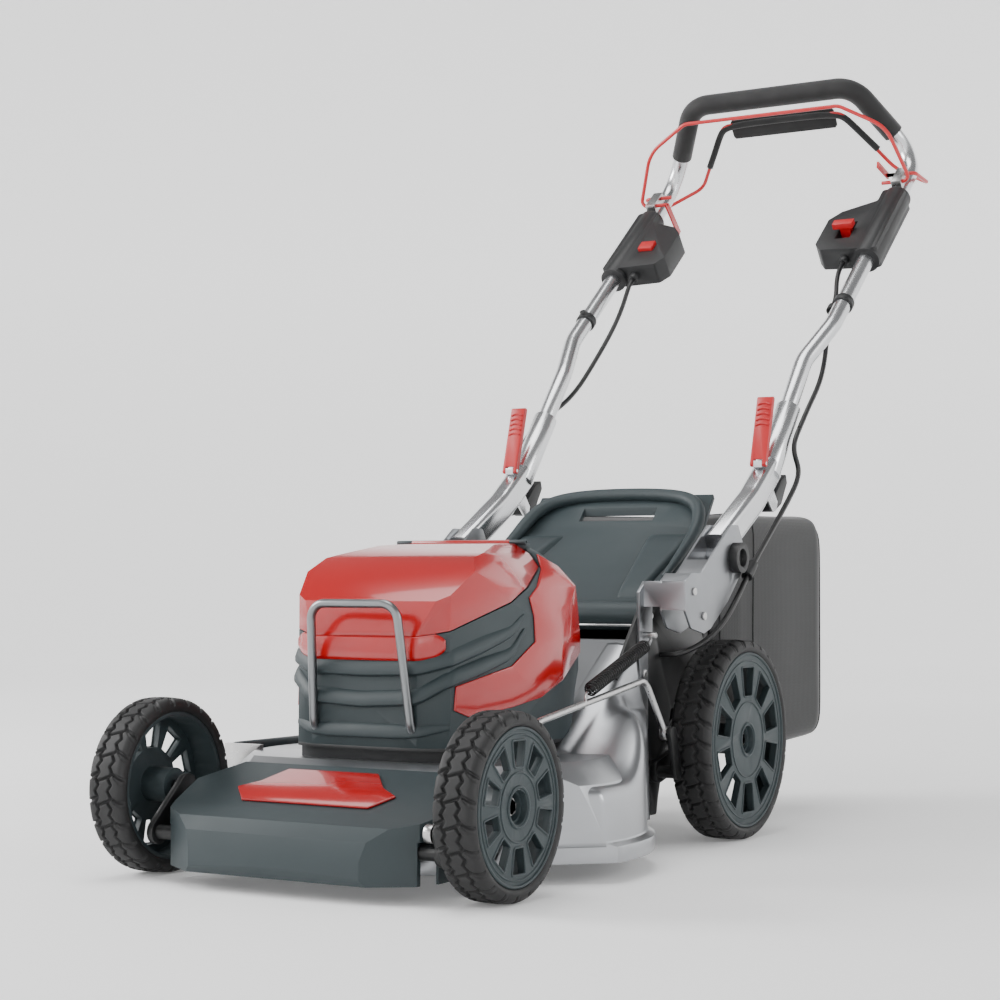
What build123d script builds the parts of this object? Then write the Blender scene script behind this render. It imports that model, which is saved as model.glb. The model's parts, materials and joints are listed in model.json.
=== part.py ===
from build123d import *
import os
from math import atan2, cos, degrees, hypot, radians, sin, sqrt

os.makedirs("parts", exist_ok=True)

# Cordless walk-behind mower. Millimetres, +Z up, the nose points along -Y and +X is the operator's left.
# The origin lies on the ground, midway between the nose and the back of the handle.

# driving dimensions
front_axle_y = -616            # front wheel centres, from the origin
wheelbase = 638                # front to rear wheel centres
front_wheel_radius = 100
front_wheel_width = 50
front_wheel_face = 252.4       # outer face of a front wheel, from the centre plane
rear_wheel_radius = 130
rear_wheel_width = 56
rear_wheel_face = 228.3
tyre_depth = 16                # rubber, from rim to tread
deck_rim_radius = 266
deck_wall = 2.0
deck_rim_bottom = 22           # ground clearance of the deck's rim
deck_rim_height = 18
deck_top = 132
blade_axis = 222               # blade centre, behind the front axle
blade_length = 412
blade_width = 52
blade_thickness = 3.5
blade_height = 40              # underside of the blade, above the ground
tunnel_half_width = 148        # grass tunnel, outside of its steel
tunnel_top = 262
chassis_wall = 4.0
hood_wall = 3.0
tube_radius = 12.7             # handle tube
tube_wall = 1.6
grip_radius = 16.5
sleeve_radius = 17.5           # telescope sleeve
bail_rod_radius = 3.0
guard_rod_radius = 5.0
link_rod_radius = 4.0
cable_radius = 3.6
axle_radius = 6.0
pivot_radius = 8.0
slide_gap = 0.05               # radial gap of a shaft that turns or slides
body_gap = 0.3                 # gap between bodies that only pass each other
handle_x = 196                 # lower handle arms, from the centre plane
arm_width = 29.4
bag_half_width = 164
bag_wall = 2.0


def at(x, behind_axle, z):
    """A point given by its distance behind the front axle."""
    return (x, front_axle_y + behind_axle, z)


def behind(distance):
    return front_axle_y + distance


def keep(shape, name):
    """Write one node's solids to its STEP file."""
    solids = shape.solids()
    whole = solids[0] if len(solids) == 1 else Compound(list(solids))
    whole.label = name
    export_step(whole, "parts/" + name + ".step")
    print(name, len(solids), round(sum(s.volume for s in solids)))


def both_sides(shape):
    return Compound([*shape.solids(), *mirror(shape, about=Plane.YZ).solids()])


def rod(points, radius, bends, wall=0):
    """A round bar or tube along straight runs joined by tangent arcs."""
    path = FilletPolyline(*points, radius=bends) if len(points) > 2 else Line(*points)
    section = Circle(radius)
    if wall:
        section = section - Circle(radius - wall)
    return sweep(Plane(origin=path @ 0, z_dir=path % 0) * section, path)


def cable(name, points, radius):
    """A cable's tube with the widest arcs its runs allow."""
    places = [Vector(*p) for p in points]
    runs = [b - a for a, b in zip(places, places[1:])]
    radii = []
    for first, second in zip(runs, runs[1:]):
        turn = radians(first.get_angle(second))
        radii.append(0.45 * min(first.length, second.length) / sin(turn / 2) * cos(turn / 2))
    path = FilletPolyline(*points, radius=radii)
    body = sweep(Plane(origin=path @ 0, z_dir=path % 0) * Circle(radius), path)
    print(name, "length", round(path.length), "radii", [round(r) for r in radii])
    print("  volume ratio", round(body.volume / (3.14159 * radius**2 * path.length), 4))
    return body


def side_plate(outline, x_low, x_high, corner=0):
    """A plate across X whose outline is (distance behind the axle, height) pairs."""
    ring = Polyline(*[(behind(y), z) for y, z in outline], close=True)
    face = make_face(Plane.YZ * ring)
    if corner:
        face = fillet(face.vertices(), corner)
    return Pos(x_low, 0, 0) * extrude(face, x_high - x_low, dir=(1, 0, 0))


def cross_cylinder(radius, x_low, x_high, distance, z):
    """A cylinder that lies across the mower."""
    place = Pos(0.5 * (x_low + x_high), behind(distance), z) * Rot(0, 90, 0)
    return place * Cylinder(radius, x_high - x_low)


def upright(radius, z_low, z_high, x, distance):
    return Pos(x, behind(distance), 0.5 * (z_low + z_high)) * Cylinder(radius, z_high - z_low)


def block(x_range, y_range, z_range):
    """A box between two distances behind the axle."""
    size = [b - a for a, b in (x_range, y_range, z_range)]
    middle = [0.5 * (a + b) for a, b in (x_range, y_range, z_range)]
    return Pos(middle[0], behind(middle[1]), middle[2]) * Box(*size)


# ---------------------------------------------------------------- deck
deck_slope = 0.48              # the deck's front falls away towards the nose
deck_front_height = 80         # height of that slope, 40 mm ahead of the front axle


wheel_clear_x = 194            # the deck stays inside the front wheels' inner faces


def outline(points, inset):
    """A flat outline, moved inwards when inset."""
    face = make_face(Polyline(*points, close=True))
    return offset(face, amount=-inset, kind=Kind.INTERSECTION) if inset else face


def deck_form(inset):
    """The deck as a solid: a round skirt under a flat top, and the grass tunnel behind."""
    profile = [
        (0, deck_rim_bottom - inset),
        (deck_rim_radius - inset, deck_rim_bottom - inset),
        (deck_rim_radius - inset, deck_rim_bottom + deck_rim_height - inset / 2),
        (deck_rim_radius - 8 - inset, deck_rim_bottom + deck_rim_height + 4 - inset / 2),
        (deck_rim_radius - 26 - inset, deck_top - 24),
        (deck_rim_radius - 54 - inset / 2, deck_top - inset),
        (0, deck_top - inset),
    ]
    face = make_face(Plane.XZ * Polyline(*profile, close=True))
    skirt = Pos(0, behind(blade_axis), 0) * revolve(face, Axis.Z)
    low = deck_front_height - inset
    slope = side_plate(
        [(-60, 0), (-60, low - 20 * deck_slope), (68, low + 108 * deck_slope), (500, 220), (500, 0)],
        -300, 300)
    limit = [(120, -60), (160, 0), (wheel_clear_x, 40), (wheel_clear_x, 124), (deck_rim_radius + 10, 206),
             (deck_rim_radius + 10, 520)]
    ring = [(x, behind(y)) for x, y in limit + [(-x, y) for x, y in reversed(limit)]]
    skirt = skirt & slope & extrude(outline(ring, inset), 300)
    width = tunnel_half_width - inset
    floor = tunnel_floor + (deck_wall - inset)
    tunnel = side_plate(
        [(300 + inset, floor), (300 + inset, deck_top - inset), (470, tunnel_top - inset),
         (tunnel_end + inset / 2, tunnel_top - inset), (tunnel_end + inset / 2, floor)],
        -width, width)
    return skirt + tunnel


tunnel_floor = 108             # underside of the tunnel's floor
tunnel_end = 500               # the steel tunnel ends here, behind the front axle
deck_outside = deck_form(0)
deck_inside = deck_form(deck_wall)
side_chute = block((-300, -150), (160, 300), (50, 102))
motor_opening = upright(46, 100, 150, 0, blade_axis)
deck = deck_outside - deck_inside - side_chute - motor_opening
keep(deck, "deck")

# ---------------------------------------------------------------- black rear chassis
shaft_y = 500                  # height-adjuster shaft, behind the front axle
shaft_z = 96
flap_axis_y = 505              # rear flap hinge
flap_axis_z = 292
flap_rod_radius = 4.0
mouth_y = 662                  # where the bag meets the chassis
mouth_floor = 186
cheek_outline = [(446, 40), (446, 150), (404, 222), (470, 300), (490, 318), (540, 318), (640, 300),
                 (mouth_y, 250), (mouth_y, mouth_floor - 8), (560, 172), (522, 60), (518, 40)]
cheek = side_plate(cheek_outline, tunnel_half_width, tunnel_half_width + chassis_wall, 5)
cheek -= cross_cylinder(pivot_radius + slide_gap, 100, 200, shaft_y, shaft_z)
cheek -= cross_cylinder(flap_rod_radius, 100, 200, flap_axis_y, flap_axis_z)
ramp = side_plate(
    [(tunnel_end, tunnel_floor + 4), (610, mouth_floor), (mouth_y, mouth_floor),
     (mouth_y, mouth_floor - 4), (612, mouth_floor - 4), (tunnel_end, tunnel_floor)],
    -tunnel_half_width, tunnel_half_width)
rear_chassis = both_sides(cheek).fuse(ramp)
keep(rear_chassis, "rear_chassis")

# ---------------------------------------------------------------- front bumper
bumper_half_width = 173
bumper_wall = 3.0
front_shaft_y = -50            # front crank shaft, behind the front axle
front_shaft_z = 53


def bumper_form(inset):
    side = [(-88 + inset, 18 - inset), (-95 + inset, 30), (-88 + inset, 64), (-75 + inset, 78 - inset),
            (-40, 88 - inset), (34, 128 - inset), (34 + inset, 20 - inset)]
    half = [(0, -96 + inset), (112, -92 + inset), (bumper_half_width - 8 - inset, -58 + inset),
            (bumper_half_width - inset, -40), (bumper_half_width - inset, 0), (128 - inset, 36 + inset),
            (0, 36 + inset)]
    width = bumper_half_width
    form = side_plate(side, -width, width)
    ring = half + [(-x, y) for x, y in reversed(half[1:-1])]
    plan = make_face(Polyline(*[(x, behind(y)) for x, y in ring], close=True))
    return form & extrude(plan, 140)


bumper_outside = bumper_form(0)
shaft_slot = block((-200, 200), (-66, -34), (10, front_shaft_z + pivot_radius + 3))
front_bumper = bumper_outside - bumper_form(bumper_wall)
front_bumper -= shaft_slot & (
    block((-200, -bumper_half_width + 10), (-70, -30), (0, 90))
    + block((bumper_half_width - 10, 200), (-70, -30), (0, 90)))
front_bumper -= deck_outside + cross_cylinder(pivot_radius + 1, -200, 200, front_shaft_y, front_shaft_z)
keep(front_bumper, "front_bumper")

badge_thickness = 3.0
badge_tilt = degrees(atan2(40, 74))
badge_seat = Plane(origin=at(0, -2, 88 + 38 * 40 / 74), x_dir=(1, 0, 0), z_dir=(0, -sin(radians(badge_tilt)),
                                                                             cos(radians(badge_tilt))))
badge_shape = make_face(Polyline((-84, -36), (84, -36), (106, -12), (82, 2), (60, 28), (-60, 28), (-82, 2),
                                 (-106, -12), close=True))
bumper_badge = extrude(badge_seat * badge_shape, badge_thickness)
keep(bumper_badge, "bumper_badge")

# ---------------------------------------------------------------- front guard
guard_points = [at(63, 150, 134), at(64, 108, 146), at(66, 76, 169), at(58, 57, 309), at(-58, 57, 309),
                at(-66, 76, 169), at(-64, 108, 146), at(-63, 150, 134)]
guard_bends = [30, 24, 20, 20, 24, 30]
front_guard = rod(guard_points, guard_rod_radius, guard_bends)
guard_room = rod(guard_points, guard_rod_radius + 1, guard_bends)
guard_feet = both_sides(upright(13, deck_top, deck_top + 3, 63, 148))
front_guard = front_guard - block((-90, 90), (100, 200), (100, deck_top))
front_guard = front_guard.fuse(guard_feet)
keep(front_guard, "front_guard")

# ---------------------------------------------------------------- hood, lid and side panels
hood_bottom = 148
motor_radius = 62
lid_front_height = 272         # the lid's edge at the nose
lid_back_height = 352          # and at its hinge
lid_hinge_y = 288
lid_hinge_z = 382
hood_plan = [(0, 78), (72, 80), (104, 98), (134, 180), (143, 280), (124, 360), (64, 396), (0, 398)]
hood_side = [(80, 100), (78, 200), (80, 278), (90, 312), (150, 362), (230, 378), (302, 382), (346, 330),
             (374, 250), (345, 205), (312, 100)]
hood_front = [(0, 384), (78, 380), (98, 368), (130, 328), (146, 260), (128, 100), (0, 100)]


def hood_form(inset):
    """Where the hood's plan, side and front outlines all agree."""
    plan = [(x, behind(y)) for x, y in hood_plan + [(-x, y) for x, y in reversed(hood_plan[1:-1])]]
    side = [(behind(y), z) for y, z in hood_side]
    front = hood_front + [(-x, z) for x, z in reversed(hood_front[1:-1])]
    form = extrude(outline(plan, inset), 450)
    form &= Pos(-200, 0, 0) * extrude(Plane.YZ * outline(side, inset), 400, dir=(1, 0, 0))
    form &= extrude(Plane.XZ * outline(front, inset), 800, both=True)
    return form


hood_outside = hood_form(0)
hood_inside = hood_form(hood_wall)
lid_zone = side_plate(
    [(0, lid_front_height - 80 * (lid_back_height - lid_front_height) / (lid_hinge_y - 82)),
     (lid_hinge_y - 3.5, lid_back_height), (lid_hinge_y - 3.5, 420), (0, 420)], -200, 200)
lid_and_gap = side_plate(
    [(0, lid_front_height - 1 - 80 * (lid_back_height - lid_front_height) / (lid_hinge_y - 82)),
     (lid_hinge_y + 3.5, lid_back_height), (lid_hinge_y + 3.5, 420), (0, 420)], -200, 200)
above_base = block((-200, 200), (0, 450), (hood_bottom, 420))
hood_shell = hood_outside - hood_inside
hood_body = (hood_shell & above_base) - lid_and_gap
ears = Compound([*cross_cylinder(3, -92, -70, lid_hinge_y, lid_hinge_z).solids(),
                 *cross_cylinder(3, 70, 92, lid_hinge_y, lid_hinge_z).solids()])
hinge_pin_radius = 1.5
ear_block = block((-92, -70), (lid_hinge_y, lid_hinge_y + 9), (lid_hinge_z - 8, lid_hinge_z - 1)) + block(
    (70, 92), (lid_hinge_y, lid_hinge_y + 9), (lid_hinge_z - 8, lid_hinge_z - 1))
hinge_hole = cross_cylinder(hinge_pin_radius + slide_gap, -120, 120, lid_hinge_y, lid_hinge_z)
hood_body = hood_body + ears + ear_block - hinge_hole - deck_outside - guard_room
keep(hood_body, "hood_body")

battery_lid = hood_shell & lid_zone
knuckle = cross_cylinder(3, -69.5, 69.5, lid_hinge_y, lid_hinge_z)
tongue = block((-69.5, 69.5), (lid_hinge_y - 8, lid_hinge_y), (lid_hinge_z - 7, lid_hinge_z - 1))
battery_lid = battery_lid + knuckle + tongue
pin = cross_cylinder(hinge_pin_radius, -90, 90, lid_hinge_y, lid_hinge_z)
battery_lid = battery_lid + pin
keep(battery_lid, "battery_lid")

base_inside = hood_form(14)
hood_base = (hood_form(hood_wall + 1) & block((-200, 200), (0, 450), (deck_top, hood_bottom)))
hood_base -= base_inside & block((-200, 200), (0, 450), (deck_top + 3, hood_bottom))
hood_base += (hood_form(0) - base_inside) & block((-200, 200), (0, 450), (hood_bottom - 4, hood_bottom))
hood_base = hood_base - deck_outside - upright(motor_radius, 100, 200, 0, blade_axis) - guard_room
hood_base -= upright(14, 100, 200, 63, 148) + upright(14, 100, 200, -63, 148)
keep(hood_base, "hood_base")

panel_thickness = 2.5
panel_shape = side_plate([(222, 316), (286, 350), (300, 368), (330, 354), (352, 300), (366, 250), (330, 236),
                          (240, 200), (122, 182), (102, 190), (104, 217), (180, 238), (227, 265)], 20, 200)
side_panel = (hood_form(-panel_thickness) - hood_outside) & panel_shape
keep(both_sides(side_panel), "side_panels")

# ---------------------------------------------------------------- motor and blade
motor_top = 184
shaft_radius = 8
bolt_radius = 5
hub_height = 18
can = upright(motor_radius, deck_top, motor_top, 0, blade_axis)
can -= upright(motor_radius - 10, deck_top + 6, motor_top - 4, 0, blade_axis)
can -= upright(shaft_radius + slide_gap, deck_top - 1, deck_top + 7, 0, blade_axis)
keep(can, "motor_can")
rotor = upright(motor_radius - 10.6, deck_top + 9, motor_top - 8, 0, blade_axis)
rotor += upright(shaft_radius, blade_height + blade_thickness + 2, motor_top - 5, 0, blade_axis)
rotor -= upright(bolt_radius, 0, blade_height + 40, 0, blade_axis)
keep(rotor, "motor_rotor")
blade_top = blade_height + blade_thickness
blade_hub = upright(24, blade_top, blade_top + hub_height, 0, blade_axis)
blade_hub -= upright(shaft_radius, blade_top + 2, blade_top + hub_height + 1, 0, blade_axis)
blade_hub -= upright(bolt_radius, 0, blade_top + 3, 0, blade_axis)
keep(blade_hub, "blade_hub")
half_blade = blade_length / 2
blade = block((-half_blade, half_blade), (blade_axis - blade_width / 2, blade_axis + blade_width / 2),
              (blade_height, blade_top))
wing = side_plate([(blade_axis + blade_width / 2 - 8, blade_height), (blade_axis + blade_width / 2, blade_height),
                   (blade_axis + blade_width / 2 + 6, blade_height + 16),
                   (blade_axis + blade_width / 2 + 2, blade_height + 16)], 150, half_blade - 12)
blade = blade + wing
blade += Pos(0, 2 * behind(blade_axis), 0) * Rot(0, 0, 180) * wing
blade -= upright(bolt_radius, 0, 100, 0, blade_axis)
keep(blade, "blade")
blade_bolt = upright(bolt_radius, blade_height, blade_height + 36, 0, blade_axis)
blade_bolt += Pos(0, behind(blade_axis), blade_height - 9) * extrude(RegularPolygon(11, 6), 9)
keep(blade_bolt, "blade_bolt")

# ---------------------------------------------------------------- battery and controller
pack_half_width = 62
pack_front = 118
pack_back = 262
pack_bottom = 204
pack_top = 314
cradle_floor = motor_top
cradle = block((-pack_half_width - 6, pack_half_width + 6), (pack_front - 6, pack_back + 6),
               (cradle_floor, pack_bottom + 44))
cradle -= block((-pack_half_width - 1, pack_half_width + 1), (pack_front - 1, pack_back + 1),
                (pack_bottom - 0.3, pack_bottom + 50))
keep(cradle, "battery_cradle")
pack = block((-pack_half_width, pack_half_width), (pack_front, pack_back), (pack_bottom, pack_top))
pack = fillet(pack.edges().filter_by(Axis.Z), 8)
button_zone = block((-16, 16), (pack_front + 8, pack_front + 26), (pack_top - 8, pack_top + 5))
pack -= button_zone
keep(pack, "battery_pack")
button_travel = 3
battery_button = block((-15.6, 15.6), (pack_front + 8.4, pack_front + 25.6),
                       (pack_top - 8 + button_travel + 0.3, pack_top + 2.5))
keep(battery_button, "battery_button")
controller = block((-52, 52), (286, 306), (deck_top + 3, 250))
controller -= deck_outside
keep(controller, "motor_controller")

# ---------------------------------------------------------------- height adjuster, front and rear
arm_thickness = 8
front_arm_low = 186
front_arm_high = front_arm_low + arm_thickness
rear_arm_low = 158
rear_arm_high = rear_arm_low + arm_thickness
drop = 50                      # how far the wheels go down, which raises the deck
rear_arm_length = hypot(wheelbase - shaft_y, rear_wheel_radius - shaft_z)
rear_rest = atan2(rear_wheel_radius - shaft_z, wheelbase - shaft_y)
rear_swing = rear_rest - atan2(rear_wheel_radius - shaft_z - drop,
                               sqrt(rear_arm_length**2 - (rear_wheel_radius - shaft_z - drop) ** 2))
front_arm_length = hypot(-front_shaft_y, front_wheel_radius - front_shaft_z)
front_rest = atan2(front_wheel_radius - front_shaft_z, -front_shaft_y)
front_swing = front_rest - atan2(front_wheel_radius - front_shaft_z - drop,
                                 sqrt(front_arm_length**2 - (front_wheel_radius - front_shaft_z - drop) ** 2))
print("rear swing", round(degrees(rear_swing), 2), "front swing", round(degrees(front_swing), 2))
link_pin_height = 49           # rear link pin above the adjuster shaft
link_pin_ahead = 14
link_pin_radius = 4.0
link_reach = hypot(link_pin_height, link_pin_ahead)
link_angle = atan2(link_pin_height, -link_pin_ahead)
link_travel = link_reach * (cos(link_angle - rear_swing) - cos(link_angle))
front_pin_reach = link_travel / (2 * sin(front_swing / 2))
front_pin_angle = radians(90) + front_swing / 2
front_pin_y = front_shaft_y + front_pin_reach * cos(front_pin_angle)
front_pin_z = front_shaft_z + front_pin_reach * sin(front_pin_angle)
print("front link pin", round(front_pin_y, 1), round(front_pin_z, 1), "travel", round(link_travel, 1))


def crank_arm(start, end, radius, x_low, x_high):
    """A flat arm with round ends between two (distance, height) places."""
    length = hypot(end[0] - start[0], end[1] - start[1])
    tilt = degrees(atan2(end[1] - start[1], end[0] - start[0]))
    shape = SlotCenterToCenter(length, 2 * radius)
    middle = (0.5 * (start[0] + end[0]), 0.5 * (start[1] + end[1]))
    place = Pos(x_low, behind(middle[0]), middle[1]) * Plane.YZ.location * Rot(0, 0, tilt)
    return extrude(place * shape, x_high - x_low, dir=(1, 0, 0))


front_hub_place = (0, front_wheel_radius)
front_shaft_place = (front_shaft_y, front_shaft_z)
front_arm = crank_arm(front_shaft_place, front_hub_place, 14, front_arm_low, front_arm_high)
front_stub_end = front_wheel_face - 19
front_half = front_arm + cross_cylinder(axle_radius, front_arm_low, front_stub_end, 0, front_wheel_radius)
front_crank = both_sides(front_half)
front_crank += cross_cylinder(pivot_radius, -front_arm_high, front_arm_high, front_shaft_y, front_shaft_z)
pin_lug = crank_arm(front_shaft_place, (front_pin_y, front_pin_z), 9, front_arm_low, front_arm_high)
link_x = 180
front_pin = cross_cylinder(link_pin_radius, link_x - 5, front_arm_low, front_pin_y, front_pin_z)
front_crank = front_crank + pin_lug + front_pin


def axle_bolts(stub_end, place):
    head = Pos(stub_end, behind(place[0]), place[1]) * Rot(0, 90, 0) * extrude(RegularPolygon(9, 6), 8)
    washer = cross_cylinder(13, stub_end - 2.7, stub_end, *place) - cross_cylinder(
        axle_radius, stub_end - 3, stub_end + 1, *place)
    return both_sides(head.fuse(washer))


rear_hub_place = (wheelbase, rear_wheel_radius)
rear_shaft_place = (shaft_y, shaft_z)
rear_stub_end = rear_wheel_face - 19
keep(Compound([*front_crank.solids(), *axle_bolts(front_stub_end, front_hub_place).solids()]), "front_crank")

rear_arm = crank_arm(rear_shaft_place, rear_hub_place, 14, rear_arm_low, rear_arm_high)
rear_half = rear_arm + cross_cylinder(axle_radius, rear_arm_low, rear_stub_end, *rear_hub_place)
rear_crank = both_sides(rear_half)
rear_crank += cross_cylinder(pivot_radius, -190, 190, *rear_shaft_place)
axle_tube_radius = 10
rear_crank += cross_cylinder(axle_tube_radius, -rear_arm_low, rear_arm_low, *rear_hub_place)
link_pin_place = (shaft_y - link_pin_ahead, shaft_z + link_pin_height)
link_lug = crank_arm(rear_shaft_place, link_pin_place, 9, front_arm_low, 192)
rear_crank += link_lug + cross_cylinder(link_pin_radius, link_x - 5, front_arm_low, *link_pin_place)
lever_tip = (shaft_y - 68, shaft_z + 112)
rear_crank += crank_arm(rear_shaft_place, lever_tip, 7, -190, -184)
keep(Compound([*rear_crank.solids(), *axle_bolts(rear_stub_end, rear_hub_place).solids()]), "rear_crank")
height_knob = cross_cylinder(13, -203, -190, *lever_tip)
keep(height_knob, "height_lever_knob")
gearbox = cross_cylinder(36, -34, 34, *rear_hub_place)
gearbox += cross_cylinder(24, 34, 112, *rear_hub_place)
gearbox -= cross_cylinder(axle_tube_radius, -40, 120, *rear_hub_place)
keep(gearbox, "drive_gearbox")

eye_radius = 9
link_points = [at(link_x, *link_pin_place), at(link_x, 430, 214), at(link_x, 170, 178), at(link_x, 30, 148),
               at(link_x, front_pin_y, front_pin_z)]
link_rod = rod(link_points, link_rod_radius, [26, 60, 40])
eye_half = link_rod_radius + 0.5
eye = cross_cylinder(eye_radius, link_x - eye_half, link_x + eye_half, *link_pin_place)
front_eye = cross_cylinder(eye_radius + 1, link_x - eye_half, link_x + eye_half, front_pin_y, front_pin_z)
link_rod = link_rod + eye + front_eye
link_rod -= cross_cylinder(link_pin_radius + slide_gap, 100, 200, *link_pin_place)
open_pin_gap = 2.0             # the linkage is opened at its front pin
link_rod -= cross_cylinder(link_pin_radius + open_pin_gap, 100, 200, front_pin_y, front_pin_z)
keep(link_rod, "height_link_rod")

front_bearing = block((-112, -98), (-66, -8), (38, 70))
front_bearing = both_sides(front_bearing) - deck_outside - cross_cylinder(
    pivot_radius + slide_gap, -300, 300, front_shaft_y, front_shaft_z)
bush = cross_cylinder(14, tunnel_half_width + chassis_wall, rear_arm_low - body_gap, *rear_shaft_place)
bush -= cross_cylinder(pivot_radius + slide_gap, 100, 200, *rear_shaft_place)
keep(Compound([*front_bearing.solids(), *both_sides(bush).solids()]), "adjuster_bearings")

# ---------------------------------------------------------------- wheels
window_count = 10


def wheel(side, name, place, radius, width, face):
    """One wheel: tyre, spoked rim and a pair of bearings."""
    rim_radius = radius - tyre_depth
    outer = face
    inner = face - width
    tyre = cross_cylinder(radius, inner, outer, *place)
    tyre = chamfer(tyre.edges().filter_by(GeomType.CIRCLE), 6)
    tyre -= cross_cylinder(rim_radius, inner - 1, outer + 1, *place)
    rim = cross_cylinder(rim_radius, inner + 4, outer - 3, *place)
    rim -= cross_cylinder(rim_radius - 5, inner, outer - 12, *place)
    rim -= cross_cylinder(18, outer - 10, outer + 1, *place)
    rim += cross_cylinder(20, inner + 4, outer - 12, *place)
    for n in range(window_count):
        window = Rot(0, 0, 180) * Trapezoid(0.34 * rim_radius, 0.34 * rim_radius, 80)
        spot = Pos(0, behind(place[0]), place[1]) * Plane.YZ.location
        spot = spot * Rot(0, 0, 360 * n / window_count) * Pos(0, 0.66 * rim_radius, 0)
        rim -= Pos(outer - 20, 0, 0) * extrude(spot * window, 30, dir=(1, 0, 0))
    bearing_outer = 12
    bearing_width = 8
    seats = [inner + 4, outer - 22 - bearing_width]
    rim -= cross_cylinder(axle_radius + 1, inner, outer - 12, *place)
    rim -= cross_cylinder(15, outer - 22, outer + 1, *place)
    bearings = []
    for low in seats:
        rim -= cross_cylinder(bearing_outer, low, low + bearing_width, *place)
        ring = cross_cylinder(bearing_outer, low, low + bearing_width, *place)
        bearings.append(ring - cross_cylinder(axle_radius + slide_gap, low - 1, low + bearing_width + 1, *place))
    pieces = {"tyre": tyre, "rim": Compound([s for b in [rim] + bearings for s in b.solids()])}
    for piece, shape in pieces.items():
        keep(shape if side > 0 else mirror(shape, about=Plane.YZ), name + "_" + piece)


wheel(1, "front_left", front_hub_place, front_wheel_radius, front_wheel_width, front_wheel_face)
wheel(-1, "front_right", front_hub_place, front_wheel_radius, front_wheel_width, front_wheel_face)
wheel(1, "rear_left", rear_hub_place, rear_wheel_radius, rear_wheel_width, rear_wheel_face)
wheel(-1, "rear_right", rear_hub_place, rear_wheel_radius, rear_wheel_width, rear_wheel_face)

# ---------------------------------------------------------------- rear flap
flap_half_width = 146
barrel_radius = 19
flap_panel = side_plate(
    [(flap_axis_y, flap_axis_z + 12), (flap_axis_y + 8, flap_axis_z + 18), (684, 407), (728, 456), (733, 450),
     (690, 401), (flap_axis_y + 12, flap_axis_z + 10), (flap_axis_y + 6, flap_axis_z + 4)],
    -flap_half_width, flap_half_width)
flap_outline = [(-flap_half_width, 480), (-flap_half_width, 600), (-134, 742), (134, 742),
                (flap_half_width, 600), (flap_half_width, 480)]
flap_plan = extrude(make_face(Polyline(*[(x, behind(y)) for x, y in flap_outline], close=True)), 500)
flap_panel = flap_panel & flap_plan
flap_panel -= block((-57, 57), (696, 713), (380, 470))
barrel = cross_cylinder(barrel_radius, -flap_half_width, flap_half_width, flap_axis_y, flap_axis_z)
rear_flap = flap_panel + barrel
rear_flap -= cross_cylinder(flap_rod_radius + slide_gap, -200, 200, flap_axis_y, flap_axis_z)
keep(rear_flap, "rear_flap")
rod_end = tunnel_half_width + chassis_wall
flap_rod = cross_cylinder(flap_rod_radius, -rod_end, rod_end, flap_axis_y, flap_axis_z)
spring_y = flap_axis_y - 23
spring_z = flap_axis_z - 12
flap_spring = rod([at(tunnel_half_width, spring_y, spring_z), at(60, spring_y, spring_z)], 1.5, 0)
keep(Compound([*flap_rod.solids(), *flap_spring.solids()]), "flap_hinge_rod")

# ---------------------------------------------------------------- side discharge cover
cover_hinge_x = -236
cover_hinge_z = 132
cover_rod_radius = 2.5
cover_front = 150
cover_back = 312


def along(radius, x, z, y_low, y_high):
    """A cylinder that lies along the mower."""
    return Pos(x, behind(0.5 * (y_low + y_high)), z) * Rot(90, 0, 0) * Cylinder(radius, y_high - y_low)


cover_section = Polyline((-234, 136), (-268, 124), (-292, 66), (-288, 64), (-265, 119), (-236, 128), close=True)
cover = extrude(Plane.XZ.offset(-behind(cover_front)) * make_face(cover_section), -(cover_back - cover_front))
cover += along(7, cover_hinge_x, cover_hinge_z, cover_front, cover_back)
cover -= along(cover_rod_radius + slide_gap, cover_hinge_x, cover_hinge_z, cover_front - 1, cover_back + 1)
keep(cover, "side_discharge_cover")
cover_rod = along(cover_rod_radius, cover_hinge_x, cover_hinge_z, cover_front - 12, cover_back + 12)
for end in (cover_front - 12, cover_back + 4):
    lug = block((cover_hinge_x - 7, -190), (end, end + 7), (90, cover_hinge_z + 6)) - deck_outside
    cover_rod += max(lug.solids(), key=lambda s: s.center().Z + s.volume / 1e6)
keep(cover_rod, "side_cover_rod")

# ---------------------------------------------------------------- grass bag
bag_front = mouth_y + 16
bag_outline = [(bag_front, 192), (bag_front, 382), (708, 394), (782, 436), (1074, 439), (1078, 104),
               (905, 96), (800, 112), (732, 152)]
bag = side_plate(bag_outline, -bag_half_width, bag_half_width)
bag_core = side_plate(
    [(bag_front - 5, 198), (bag_front - 5, 379), (707, 391.6), (781, 433.6), (1072, 437), (1076, 106.5),
     (905, 98.5), (801, 114.5), (733, 155)], -bag_half_width + bag_wall, bag_half_width - bag_wall)
keep(bag - bag_core, "bag_cloth")
bag_frame = block((-150, 150), (mouth_y + 0.5, bag_front), (180, 378))
bag_frame -= block((-132, 132), (mouth_y - 5, bag_front + 5), (192, 300))
bag_frame -= block((-140, 140), (mouth_y + 4, bag_front + 5), (190, 370))
bag_grab = rod([at(-52, bag_front - 6, 372), at(-52, 704, 404), at(52, 704, 404), at(52, bag_front - 6, 372)], 5, 9)
bag_frame += bag_grab - bag
keep(bag_frame, "bag_frame")

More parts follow.
